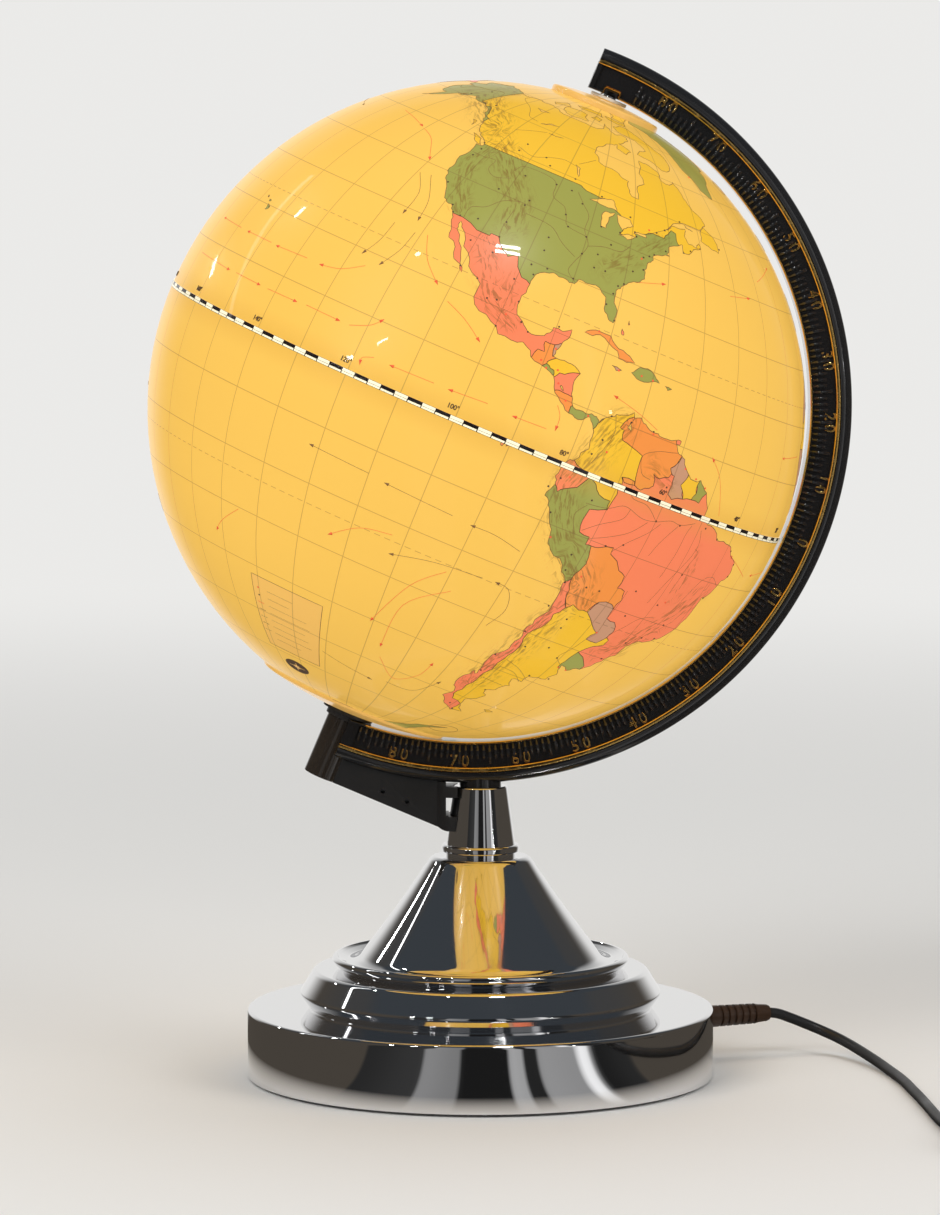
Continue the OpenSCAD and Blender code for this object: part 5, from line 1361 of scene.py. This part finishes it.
def half_shell(name, chosen, radius):
    """One half of the ball: its printed triangles on the sphere, given the wall's thickness inwards."""
    ids, back = np.unique(faces[chosen], return_inverse=True)
    mesh = bpy.data.meshes.new(name)
    points = [on_ball(*spots[i], radius) for i in ids]
    mesh.from_pydata(points, [], back.reshape(-1, 3).tolist())
    for label, values in (("height", height), ("across_range", across_range)):
        mesh.attributes.new(label, "FLOAT", "POINT").data.foreach_set("value", values[ids].astype(np.float32))
    paint = np.array([(*INKS[COLOUR.get(n, n)], 1.0) for n in names], np.float32)[owner[chosen]]
    inks = mesh.attributes.new("ink", "FLOAT_COLOR", "CORNER")
    inks.data.foreach_set("color", paint.repeat(3, axis=0).ravel())
    form = bmesh.new()
    form.from_mesh(mesh)
    bmesh.ops.remove_doubles(form, verts=form.verts, dist=2e-6)
    for face in form.faces:
        if face.normal.dot(face.calc_center_median() - ball_middle * MM) < 0:
            face.normal_flip()
    form.to_mesh(mesh)
    form.free()
    host = shown(name, mesh)
    wall = host.modifiers.new("wall", "SOLIDIFY")
    wall.thickness, wall.offset, wall.use_even_offset = shell_t * MM, -1, True
    ready = plain_mesh(host)
    ready.name = name
    middle, inner = ball_middle * MM, (radius - shell_t * 0.5) * MM
    away = [(v.co - middle) for v in ready.vertices]
    outside = [a.length > inner for a in away]
    normals = []
    for face in ready.polygons:
        sides = {outside[v] for v in face.vertices}
        for v in face.vertices:
            out = away[v].normalized() * (1 if outside[v] else -1)
            normals.append(face.normal if len(sides) == 2 else out)
    ready.polygons.foreach_set("use_smooth", [True] * len(ready.polygons))
    ready.normals_split_custom_set(normals)
    return ready


northern = middles[:, 1] > 0
joined("north_half", half_shell("north_half", northern, ball_r), "globe", "map_north", "north_hemisphere",
       finish=printed)
joined("south_half", half_shell("south_half", ~northern, south_r), "globe", "map_south", "south_hemisphere",
       finish=printed)


# ---------------------------------------------------------------- the map's fine lines
# Coasts, frontiers, rivers and the currents of the seas are screen printed in
# a thicker ink, so each stands a hair proud of the plastic.
def chained(pairs):
    """Joins single edges into the longest lines that don't branch."""
    links = {}
    for a, b in pairs:
        links.setdefault(a, []).append(b)
        links.setdefault(b, []).append(a)
    used, out = set(), []
    for start in [v for v in links if len(links[v]) != 2] + list(links):
        for step in links[start]:
            if (start, step) in used:
                continue
            path, a, b = [start], start, step
            while True:
                used.update(((a, b), (b, a)))
                path.append(b)
                if len(links[b]) != 2 or b == start:
                    break
                a, b = b, links[b][0] if links[b][0] != a else links[b][1]
            out.append(path)
    return out


def inked(form, line, radius, head=0.0):
    """Lays a fine closed ridge along longitudes and latitudes. A head makes its last part an arrow's tip."""
    looped = line[0] == line[-1] and len(line) > 3
    points = [on_ball(lon, lat, (ball_r if lat > 0 else south_r) + 0.01) for lon, lat in line]
    if looped:
        points.pop()
    widths = [radius] * len(points)
    if head:
        along = (points[-1] - points[-2]).normalized()
        tip = points[-1]
        points[-1:] = [tip - along * head * MM, tip - along * head * 0.98 * MM, tip]
        widths[-1:] = [radius, head * 0.32, 0.01]
    count, rings = len(points), []
    for k, point in enumerate(points):
        after = points[(k + 1) % count] if looped or k < count - 1 else point
        before = points[k - 1] if looped or k else point
        ahead = (after - before).normalized()
        up = (point - ball_middle * MM).normalized()
        side = ahead.cross(up)
        w, h = widths[k] * MM, min(widths[k], radius) * MM
        rings.append([form.verts.new(point + offset)
                      for offset in (side * w, up * h * 0.6, -side * w, -up * h)])
    lofted(form, rings, looped=looped, capped=not looped)


def eased(line, n=6):
    """A smooth line through a few points."""
    ends = [line[0], *line, line[-1]]
    out = []
    for p, q, r, s in zip(ends, ends[1:], ends[2:], ends[3:]):
        for k in range(n):
            t = k / n
            out.append(tuple(0.5 * (2 * b + (c - a) * t + (2 * a - 5 * b + 4 * c - d) * t * t
                                    + (3 * b - a - 3 * c + d) * t ** 3) for a, b, c, d in zip(p, q, r, s)))
    return out + [line[-1]]


def ink_of(name, colour):
    """A printing ink that the lamp shows through: it glows as the plastic does."""
    material, tree, place = finish_of(name)
    tone = mixed(tree, noise(tree, place, 900, 2), *shades(colour, 0.75, 1.25))
    surfaced(tree, tone, 0.45,
             **{"Emission Color": tone, "Emission Strength": 0.4, "Specular IOR Level": 0.3})
    return material


def printed_lines(name, lines, radius, ink, head=0.0):
    """Makes one piece of many ridges of ink."""
    form = bmesh.new()
    for line in lines:
        inked(form, line, radius, head)
    joined(name, finished(name, form, 180), "globe", "map_north", finish=ink)


beside = {}
for number, face in enumerate(faces.tolist()):
    for a, b in zip(face, face[1:] + face[:1]):
        beside.setdefault((min(a, b), max(a, b)), []).append(owner[number])
meeting = {pair: kinds for pair, kinds in beside.items() if len(kinds) == 2 and kinds[0] != kinds[1]
           and min(abs(spots[pair[0]][0] - west), abs(spots[pair[0]][0] - east)) > 0.01}
coast_pairs = [pair for pair, kinds in meeting.items() if min(kinds) < 2]
border_pairs = [pair for pair, kinds in meeting.items() if min(kinds) > 1]
brown_ink = ink_of("brown ink", (0.20, 0.10, 0.035))
dark_ink = ink_of("dark ink", (0.075, 0.04, 0.02))
red_ink = ink_of("red ink", (0.72, 0.10, 0.035))
for name, pairs, ink in (("coasts", coast_pairs, brown_ink), ("frontiers", border_pairs, dark_ink)):
    lines = [[tuple(spots[v]) for v in chain] for chain in chained(pairs)]
    printed_lines(name, [chain for chain in lines if len(chain) > 1], 0.13, ink)

RIVERS = """
-95.2,47.2 -93,45 -91,43 -91,40 -90,38.5 -89.3,37 -90,35 -91,33 -91.5,31 -89.5,29.5|-111.5,45.9 -110,47.8
-104,48 -101,47 -100.3,44 -97,42.8 -95.8,41 -94.7,39.2 -90.2,38.7|-80,40.5 -82,38.6 -85.5,38.2 -88,37.5
-89.2,37|-104,38.2 -98,37.8 -94.5,35.5 -91.2,34|-106.5,37.5 -106.8,34 -106.5,31.8|-106,40 -109.5,38.8
-112,36.2 -114.6,35 -114.7,32.6|-118,52 -117.8,49 -119.8,47.5 -119,46.2 -123.5,46.2|-111,44 -114.5,42.8
-117,44 -117,46.3 -119,46.3|-115,52 -110,51 -106,52.5 -102,53.5 -98.5,53.2|-97.8,54 -93.5,57|-120,56 -115,58
-111.5,59|-117.5,61.3 -121.5,61.8 -124.5,64 -127.5,65.5 -134,67.5 -134.5,69|-76,44.3 -73.5,45.7
-71,46.9|-134.5,60.5 -138,63 -141.5,64.8 -145,66.5 -152,65.2 -158,64.5 -160.5,62 -164,62.8|-64.5,3 -66.5,3.5
-67.5,6.2 -65,7.8 -62,8.5 -60.8,8.8|-76,2 -74.8,5 -74,8 -74.8,10.9|-74,-4.5 -70,-4 -67,-2.6 -63,-3.5
-60,-3.2 -57,-2.2 -54.5,-2.3 -51.5,-1.2|-73.5,-10 -75,-7 -73.6,-4.7|-67.5,1.8 -66.5,-0.8 -63,-1.2
-60.2,-3|-72.5,-9 -70,-7 -66.5,-4.8 -65.8,-2.8|-71,-10 -67.5,-8.5 -64,-6.5 -61.5,-3.8|-65.3,-10.5 -63.5,-8.3
-60.5,-5.5 -58.8,-3.3|-58,-9 -57,-6 -55,-2.6|-53,-12 -52.5,-7 -52.5,-3.5 -52,-1.8|-52,-17 -50.7,-12
-48.3,-5.5 -49.3,-2|-48.5,-14 -48.2,-9 -47.5,-6 -48.5,-5.3|-52,-27.5 -55.5,-28 -57.6,-30.2|-45.5,-20.3
-44.5,-16 -43.4,-12.5 -42,-9.8 -39.5,-9 -36.8,-10.3|-57.8,-16 -57.7,-19 -57.9,-22 -57.5,-25.3
-58.6,-27.2|-48,-19 -51,-20.2 -52.8,-22.5 -54.3,-24.5 -54.6,-25.6|-58.6,-27.3 -59.5,-30 -60.7,-32.5
-58.8,-34|-70,-37 -66,-38 -62.2,-39.8|-70,-39 -66,-39.3 -63,-41|-71,-43 -65.2,-43.3|33,0.8 31.5,3.5 32,9.5
33,15.5 31,19 33,22 32.8,26 31.2,30.2|27,-11 26.5,-5 25,-1.5|25,1.5 21,2|17.5,-1.2 16,-4.5 12.6,-6|-10,10
-5,14.5 -0.5,16.8 3,12.5 6.5,8 6.5,5|33,57 40,57.5 47,56 49,53 45.5,48.8 47.5,46|9,48 14,48.3 19,47.5 20,45
26,44 29,45.2|86,52 83,55 76,59.5 68,61 66,66|94,51.5 92.5,56 90,61 87,66 84,71|106,54 116,60 129,62 125,66
126.5,72|116,50 123,53.4 131,48 137,51 140.5,53|92,33.5 99,28 104,28.8 110,30.3 116,30|98,35 104,37 107,40.7
110.5,40 110.5,35 118,37.7|98,31 101,21.5 105,16 105.5,11|78,30 84,25.5 89,24|81,31.5 75,35.5|71,32
68,25|39,38 41,35 45,32 48,30|148,-36 142,-34.3 139,-35.3|150,-29 142,-34|23,-12 25,-17.5 30,-16
36,-18.5|28,-30 20,-28.8 16.7,-28.6|9,47.5 8,50 6,51.8"""
CURRENTS = """
-153,49 -147,48.2 -141,47|-140,46.7 -135,45 -130,40.5|-137.5,14.5 -146,14.2|-147.5,14.3 -156,14.3|-126,17.4
-130,15.2 -134.5,14.4|-158.7,14.3 -168.5,14.5|-151.7,7.1 -144,7|-142,7 -134.5,7.1|-132.5,7.3
-125,7.2|-123.2,7.2 -119.7,8.6 -117.8,10.5|-118.8,26.8 -116.2,22.7 -112.2,19.4|-109.3,17.5 -105.1,15.8
-101.2,13.3|-105.5,4.1 -113.7,3.9|-96,4.5 -103,4.1|-116.6,4 -118.5,3.2 -118.4,1.9|-90.8,-24.8 -95.9,-30
-100.7,-40.5|-88.4,-27.9 -95.6,-34.4 -96.4,-45.5|-95.4,-48.1 -89.7,-52.5 -84.5,-49 -83.3,-44.1|-135,-30.4
-140,-34.1 -142.2,-36.7|-102.4,-22.4 -108.4,-23.6 -114,-27.3|-85.1,8.7 -84,7 -83.9,4.6|-66.4,11.1 -71,12.6
-76.4,13.8|-46.4,1.3 -49.5,7.1 -53,10.2|-28.4,-7.4 -38,-4.4|-77.7,34 -70.5,36|-51.9,38.8 -44,39.9|-168,7.4
-154,7|-85.4,4.4 -91.6,4.2|-38,44 -26,48|-20,15 -30,14|-15,-6 -25,-7|62,-12 52,-15|88,-8 76,-10|142,11
131,13|148,34 162,38|172,-9 160,-8|155,-30 158,-38"""
DRIFTS = """
-129.3,37.3 -126,33.5 -125.8,28.5|-126.7,37.7 -123.1,32.9 -122.2,28.4|-126,26.5 -126.4,22.5
-128,19|-121.2,26.3 -121.8,22.3 -123.8,18.4|-110,-14 -122,-13.6|-94,-15 -107,-14.4|-80.7,-16.3 -85.9,-15.3
-90.6,-15.3|-84.3,-23.3 -93.4,-24 -101.9,-25.9|-78.8,-31.7 -77.3,-27.4 -78.9,-23.6 -82,-23.1|-111,-53.5
-102.8,-54.9 -94.4,-55.7|-90.6,-54.5 -82.6,-53.9 -78.3,-48.1|0,-22 -8,-16|10,-41 25,-43|75,-38
95,-40|105,-30 102,-20|175,48 188,46"""


def routes(text):
    return [eased(places(line)) for line in text.split("|")]


printed_lines("rivers", routes(RIVERS), 0.08, brown_ink)
printed_lines("currents", routes(CURRENTS), 0.09, red_ink, 2.0)
printed_lines("drifts", routes(DRIFTS), 0.09, brown_ink, 2.0)


def laid_at(lon, lat, r, start, end):
    """The matrix that lays a flat shape on the ball, upright, along the parallel between two longitudes."""
    spot = on_ball(lon, lat, r)
    out = (spot - ball_middle * MM).normalized()
    right = (on_ball(end, lat, r) - on_ball(start, lat, r)).normalized()
    return laid_on(spot, right, out.cross(right), out)


# Every 20 degrees of longitude is numbered just above the equator.
figured("degrees", "globe", "map_north", dark_ink,
        [(f"{abs(lon)}°", 1.8, 0.05, laid_at(lon - 1, 1.75, ball_r, lon - 2, lon + 1))
         for lon in range(-160, 181, 20)])


# ---------------------------------------------------------------- towns, the key and the maker's seal
# Towns are dots of dark ink and capitals dots of red. The key and the seal
# carry no words: a few signs, and a plain compass star on a brown oval.
TOWNS = places("""
-122.3,47.6 -122.7,45.5 -122.4,37.8 -118.2,34 -117.2,32.7 -112,33.4 -111.9,40.7 -105,39.7 -106.6,35
-106.4,31.8 -104.6,41 -108.5,45.8 -100.8,46.8 -96.8,46.9 -93.3,45 -96,41.3 -94.6,39.1 -97.5,35.5 -97.3,32.8
-95.4,29.8 -98.5,29.4 -97.4,27.8 -90.1,30 -90,35.1 -90.2,38.6 -87.6,41.9 -83,42.3 -84.5,39.1 -86.8,36.2
-84.4,33.7 -86.8,33.5 -81.7,30.3 -80.2,25.8 -82.5,28 -81.1,32 -80,32.8 -78.6,35.8 -76.3,36.9 -76.6,39.3
-75.2,40 -74,40.7 -71,42.4 -78.9,42.9 -79.4,43.7 -73.6,45.5 -71.2,46.8 -63.6,44.6 -52.7,47.6 -97.1,49.9
-104.6,50.5 -106.7,52.1 -114.1,51 -113.5,53.5 -123.1,49.3 -135,60.7 -149.9,61.2 -147.7,64.8 -89.2,48.4
-81,46.5 -66,50.2 -110.3,24.1 -106.4,23.2 -103.3,20.7 -100.3,25.7 -97.9,22.3 -96.1,19.2 -99.9,16.9 -89.6,21
-106.1,28.6 -111,29.1 -115.5,32.6 -101.6,21.1 -94.4,18.1 -75.5,10.4 -75.6,6.2 -76.5,3.4 -71.6,10.7 -67,10.6
-79.9,-2.2 -81.3,-4.2 -79,-8.1 -71.5,-16.4 -72,-13.5 -73.2,-3.7 -70.3,-18.5 -70.4,-23.6 -71.2,-29.9
-73,-36.8 -72.9,-41.5 -70.9,-53.2 -68.3,-54.8 -67.5,-45.9 -62.3,-38.7 -57.5,-38 -60.7,-32.9 -64.2,-31.4
-65.2,-26.8 -65.4,-24.8 -68.8,-32.9 -63.2,-17.8 -66,-18 -67,-10 -63.9,-8.8 -60,-3.1 -54.7,-2.4 -48.5,-1.4
-44.3,-2.5 -38.5,-3.7 -35.2,-5.8 -34.9,-8.1 -38.5,-13 -43.2,-22.9 -46.6,-23.5 -43.9,-19.9 -49.3,-25.4
-51.2,-30 -54.6,-20.5 -56.1,-15.6 -49.3,-16.7 -48.3,-10.2 -60.7,2.8 -157.9,21.3 -155.1,19.7 13.4,52.5
9.2,45.5 2.2,41.4 30.3,59.9 37,55 44,56.3 60.6,56.8 73.4,55 82.9,55 104.3,52.3 129.7,62 132,43.2 121.5,31.2
114.2,22.3 126.6,45.8 106.5,29.6 87.6,43.8 72.9,19.1 88.4,22.6 80.3,13.1 67,24.9 46.7,24.7 29,41 31.2,30
-7.6,33.6 3.4,6.5 28,-26.2 18.4,-33.9 39.3,-6.8 39.2,21.5 151.2,-33.9 145,-37.8 153,-27.5 115.9,-32
130.8,-12.5 138.6,-34.9 174.8,-36.9""")
CAPITALS = places("""
-77,38.9 -75.7,45.4 -99.1,19.4 -90.5,14.6 -88.8,17.3 -87.2,14.1 -89.2,13.7 -86.3,12.1 -84.1,9.9 -79.5,9
-74.1,4.6 -66.9,10.2 -58.2,6.8 -55.2,5.8 -52.4,4.9 -78.5,-1.5 -77,-12 -68.1,-16.5 -57.6,-25.3 -56.2,-34.8
-58.4,-34.7 -70.7,-33.5 -47.9,-15.8 -82.4,23 -76.8,18 -69.9,18.6 -72.3,18.6 -51.7,64.2 -21.9,64.1 0,51.5
2.3,48.9 -3.7,40.4 12.5,41.9 37.6,55.8 116.4,39.9 77.2,28.6 139.7,35.7 149.1,-35.3 36.8,-1.3 28.2,-25.7
100.5,13.8""")
KEY_ROWS = [-44.6 - 1.7 * k for k in range(8)]
sign_lon, dot_lon, rule_lon, sign_long = -131.2, -130.3, -127.5, 2.1

tree = bpy.data.node_groups.new("dots", "GeometryNodeTree")
size = inputs(tree, Radius="Float", Height="Float", Centre="Vector", Finish="Material")
dot = add(tree, "GeometryNodeMeshCylinder",
          {"Vertices": 8, "Radius": size["Radius"], "Depth": size["Height"]})
outward = add(tree, "ShaderNodeVectorMath", {0: add(tree, "GeometryNodeInputPosition").outputs[0],
                                             1: size["Centre"]}, operation="SUBTRACT")
facing = add(tree, "FunctionNodeAlignRotationToVector", {"Vector": outward.outputs[0]}, axis="Z")
dots = add(tree, "GeometryNodeInstanceOnPoints", {"Points": size["Geometry"], "Instance": dot.outputs["Mesh"],
                                                  "Rotation": facing.outputs[0]})
outputs(tree, dots.outputs[0], size["Finish"])
for name, towns, r, ink in (("towns", TOWNS + [(dot_lon, KEY_ROWS[1])], 0.38, dark_ink),
                            ("capitals", CAPITALS + [(dot_lon, KEY_ROWS[0])], 0.42, red_ink)):
    mesh = bpy.data.meshes.new(name + "_places")
    mesh.from_pydata([on_ball(lon, lat, ball_r if lat > 0 else south_r) for lon, lat in towns], [], [])
    mesh = grown(name, tree, mesh, {"Radius": r * MM, "Height": 0.14 * MM, "Centre": tuple(ball_middle * MM),
                                    "Finish": ink})
    joined(name, mesh, "globe", "map_north")

printed_lines("key_red_sign", [[(sign_lon + 0.3 * k, KEY_ROWS[2]) for k in range(8)]], 0.14, red_ink)
signs = []
for row, (count, gap) in zip(KEY_ROWS[3:7], ((1, 0), (3, 0.35), (2, 0.4), (4, 0.3))):
    long = (sign_long - gap * (count - 1)) / count
    for k in range(count):
        start = sign_lon + (long + gap) * k
        signs.append([(start, row), (start + long, row)])
printed_lines("key_signs", signs, 0.12, dark_ink)
rules = [[(rule_lon + reach * m / 6, row) for m in range(7)]
         for row, reach in zip(KEY_ROWS, (7.5, 6.5, 11.5, 12.5, 11, 12, 13, 9))]
printed_lines("key_rules", rules, 0.07, brown_ink)
printed_lines("pole_ring", [[(-56.5 + 6 * math.cos(a), -64.5 + 2.4 * math.sin(a))
                             for a in (math.radians(15 * k) for k in range(25))]], 0.1, brown_ink)

# The seal is a thin oval of brown ink with a compass star in cream.
seal_r, star_r, seal_flat = 5.2, 3.6, 0.8


def relief_disc(name, outline, low, high, finish):
    """A flat shape with a thickness at the seal's place. Its middle follows the ball's curve."""
    form = bmesh.new()
    sink = [(x * x + y * y) / 2 / south_r for x, y in outline]
    tops = [form.verts.new((x * MM, y * MM, (high - s) * MM)) for (x, y), s in zip(outline, sink)]
    feet = [form.verts.new((x * MM, y * MM, (low - s) * MM)) for (x, y), s in zip(outline, sink)]
    crown, base = form.verts.new((0, 0, high * MM)), form.verts.new((0, 0, low * MM))
    for k in range(len(outline)):
        m = (k + 1) % len(outline)
        form.faces.new((tops[k], tops[m], crown))
        form.faces.new((feet[m], feet[k], base))
        form.faces.new((tops[m], tops[k], feet[k], feet[m]))
    joined(name, finished(name, form, 30), "globe", "map_south", finish=finish,
           at=laid_at(-122.8, -63.4, south_r, -125, -120))


def spiked(count, *lengths):
    """A flattened outline whose corners take the lengths by turns."""
    turns = [(lengths[k % len(lengths)], 2 * math.pi * k / count) for k in range(count)]
    return [(r * math.cos(a), r * math.sin(a) * seal_flat) for r, a in turns]


relief_disc("seal", spiked(48, seal_r), -0.1, 0.06, dark_ink)
relief_disc("seal_star", spiked(16, star_r, star_r * 0.22, star_r * 0.5, star_r * 0.22), 0.0, 0.1,
            ink_of("cream ink", (0.72, 0.42, 0.14)))


# ---------------------------------------------------------------- the tape round the equator
# A glossy printed tape hides the joint of the two halves. Its upper part is
# black and white by turns, its lower part white with a thin line at each step.
tape_r, tape_half, tape_cells = south_r + 0.2, 1.1, 144
tape_rows = [-tape_half, -0.96, -0.22, -0.10, 0.98, tape_half]
form = bmesh.new()
columns = []
for cell in range(tape_cells):
    for share in (0.0, 0.07):
        angle = math.radians(360 / tape_cells * (cell + share) - 90)
        lap = 0.12 if 124 <= cell < 126 else 0.0
        ring = [(tape_r + lap, z) for z in tape_rows]
        ring += [(ball_r - 0.1, tape_half), (ball_r - 0.1, -tape_half)]
        columns.append([form.verts.new((r * math.cos(angle) * MM, r * math.sin(angle) * MM, z * MM))
                        for r, z in ring])
sides = len(tape_rows) + 2
for number, face in enumerate(lofted(form, columns, looped=True)):
    cell, divider = number // (2 * sides), number // sides % 2 == 0
    inks_up = (1, 1 if divider else 0, 1, 1 if divider or cell % 2 else 0, 2, 0, 0, 0)
    face.material_index = inks_up[number % sides]
mesh = finished("tape", form, 30)
# Each ink of the tape glows with painted light, as if the lamp inside shone through it.
for name, colour, glow in (("white tape", (0.80, 0.73, 0.52), 0.58),
                           ("black tape", (0.010, 0.007, 0.007), 0.05),
                           ("red edge", (0.10, 0.02, 0.012), 0.1)):
    finish, tree, place = finish_of(name)
    tone = mixed(tree, noise(tree, place, 160, 3), *shades(colour, 0.88, 1.1))
    surfaced(tree, tone, 0.25, **{"Emission Color": tone, "Emission Strength": glow, "Coat Weight": 0.5,
                                  "Coat Roughness": 0.04})
    mesh.materials.append(finish)
joined("tape", mesh, "globe", "tape", "equator_tape", at=to_ball)


# ---------------------------------------------------------------- the caps at the poles
# Two amber plastic caps close the ball's holes. The northern one turns on the
# arm's pin with a white washer between, the southern one carries the bush.
# The amber plastic glows with painted light, as the lamp inside would light it through.
amber, tree, place = finish_of("amber plastic")
tone = mixed(tree, noise(tree, place, 40, 3), (0.84, 0.46, 0.10, 1), (0.95, 0.56, 0.14, 1))
surfaced(tree, mixed(tree, 1.0, tone, (0.55, 0.55, 0.55, 1), "MULTIPLY"), 0.3,
         Normal=bumped(tree, noise(tree, place, 700, 2), 0.00001),
         **{"Emission Color": tone, "Emission Strength": 0.5, "Coat Weight": 0.4, "Coat Roughness": 0.05})


def dome_points(radius, start, end, n, side=1):
    """Points on a sphere from one half-chord to another, above or below its middle."""
    chords = [start + (end - start) * k / n for k in range(n + 1)]
    return [(x, side * math.sqrt(radius * radius - x * x)) for x in chords]


cap_r, cap_high, boss_r, pin_bore = 21.5, 127.3, 7.0, 2.55
edge = 1.1
rim = dome_points(cap_high, pin_bore, cap_r - edge, 16)
turn_z = rim[-1][1] - edge
profile = [*rim, *swept((cap_r - edge, turn_z), edge, 72, 0, 6),
           *dome_points(ball_r + 0.02, cap_r, boss_r, 10), (boss_r, ball_r - 6), (pin_bore, ball_r - 6)]
joined("north_lid", turned("north_lid", profile, 128, crease=50), "globe", "map_north", "north_cap",
       finish=amber, at=to_ball)

lid_r, lid_low, lamp_hole, bush_r, lid_t = 37.2, south_r + 0.1, 34.0, 10.0, 1.8
z_rim = math.sqrt(south_r ** 2 - lid_r ** 2) + 1
sag = lid_low - z_rim
bow = (lid_r ** 2 + sag ** 2) / 2 / sag
edge = 0.9
mouth = lamp_hole - 2.2
seat = math.sqrt(south_r ** 2 - lamp_hole ** 2)


def bowed(x, rise=0.0):
    """A point of the southern cap's shallow dome."""
    return x, -lid_low + bow - math.sqrt(bow * bow - x * x) + rise


profile = [*[bowed(bush_r + (lid_r - edge - bush_r) * k / 16) for k in range(17)],
           *swept((lid_r - edge, edge - 0.2 - z_rim), edge, -60, 0, 6),
           *dome_points(south_r + 0.02, lid_r, lamp_hole - 0.2, 4, -1),
           (lamp_hole - 0.2, 4.5 - seat), (lamp_hole - 1.6, 6 - seat), (mouth, 4.5 - seat),
           *[bowed(mouth + (bush_r - mouth) * k / 8, lid_t) for k in range(9)]]
joined("south_lid", turned("south_lid", profile, 160, crease=50), "globe", "map_south", "south_cap",
       finish=amber, at=to_ball)

washer_bore, washer_r, washer_high = 2.7, 7.2, 128.6
profile = rounded([(washer_bore, cap_high), (washer_r, cap_high), (washer_r, washer_high),
                   (washer_bore, washer_high), (washer_bore, cap_high)], 0.3)
joined("washer", turned("washer", profile, 64), "globe", "white_plastic", "north_washer",
       finish=white_plastic, at=to_ball)
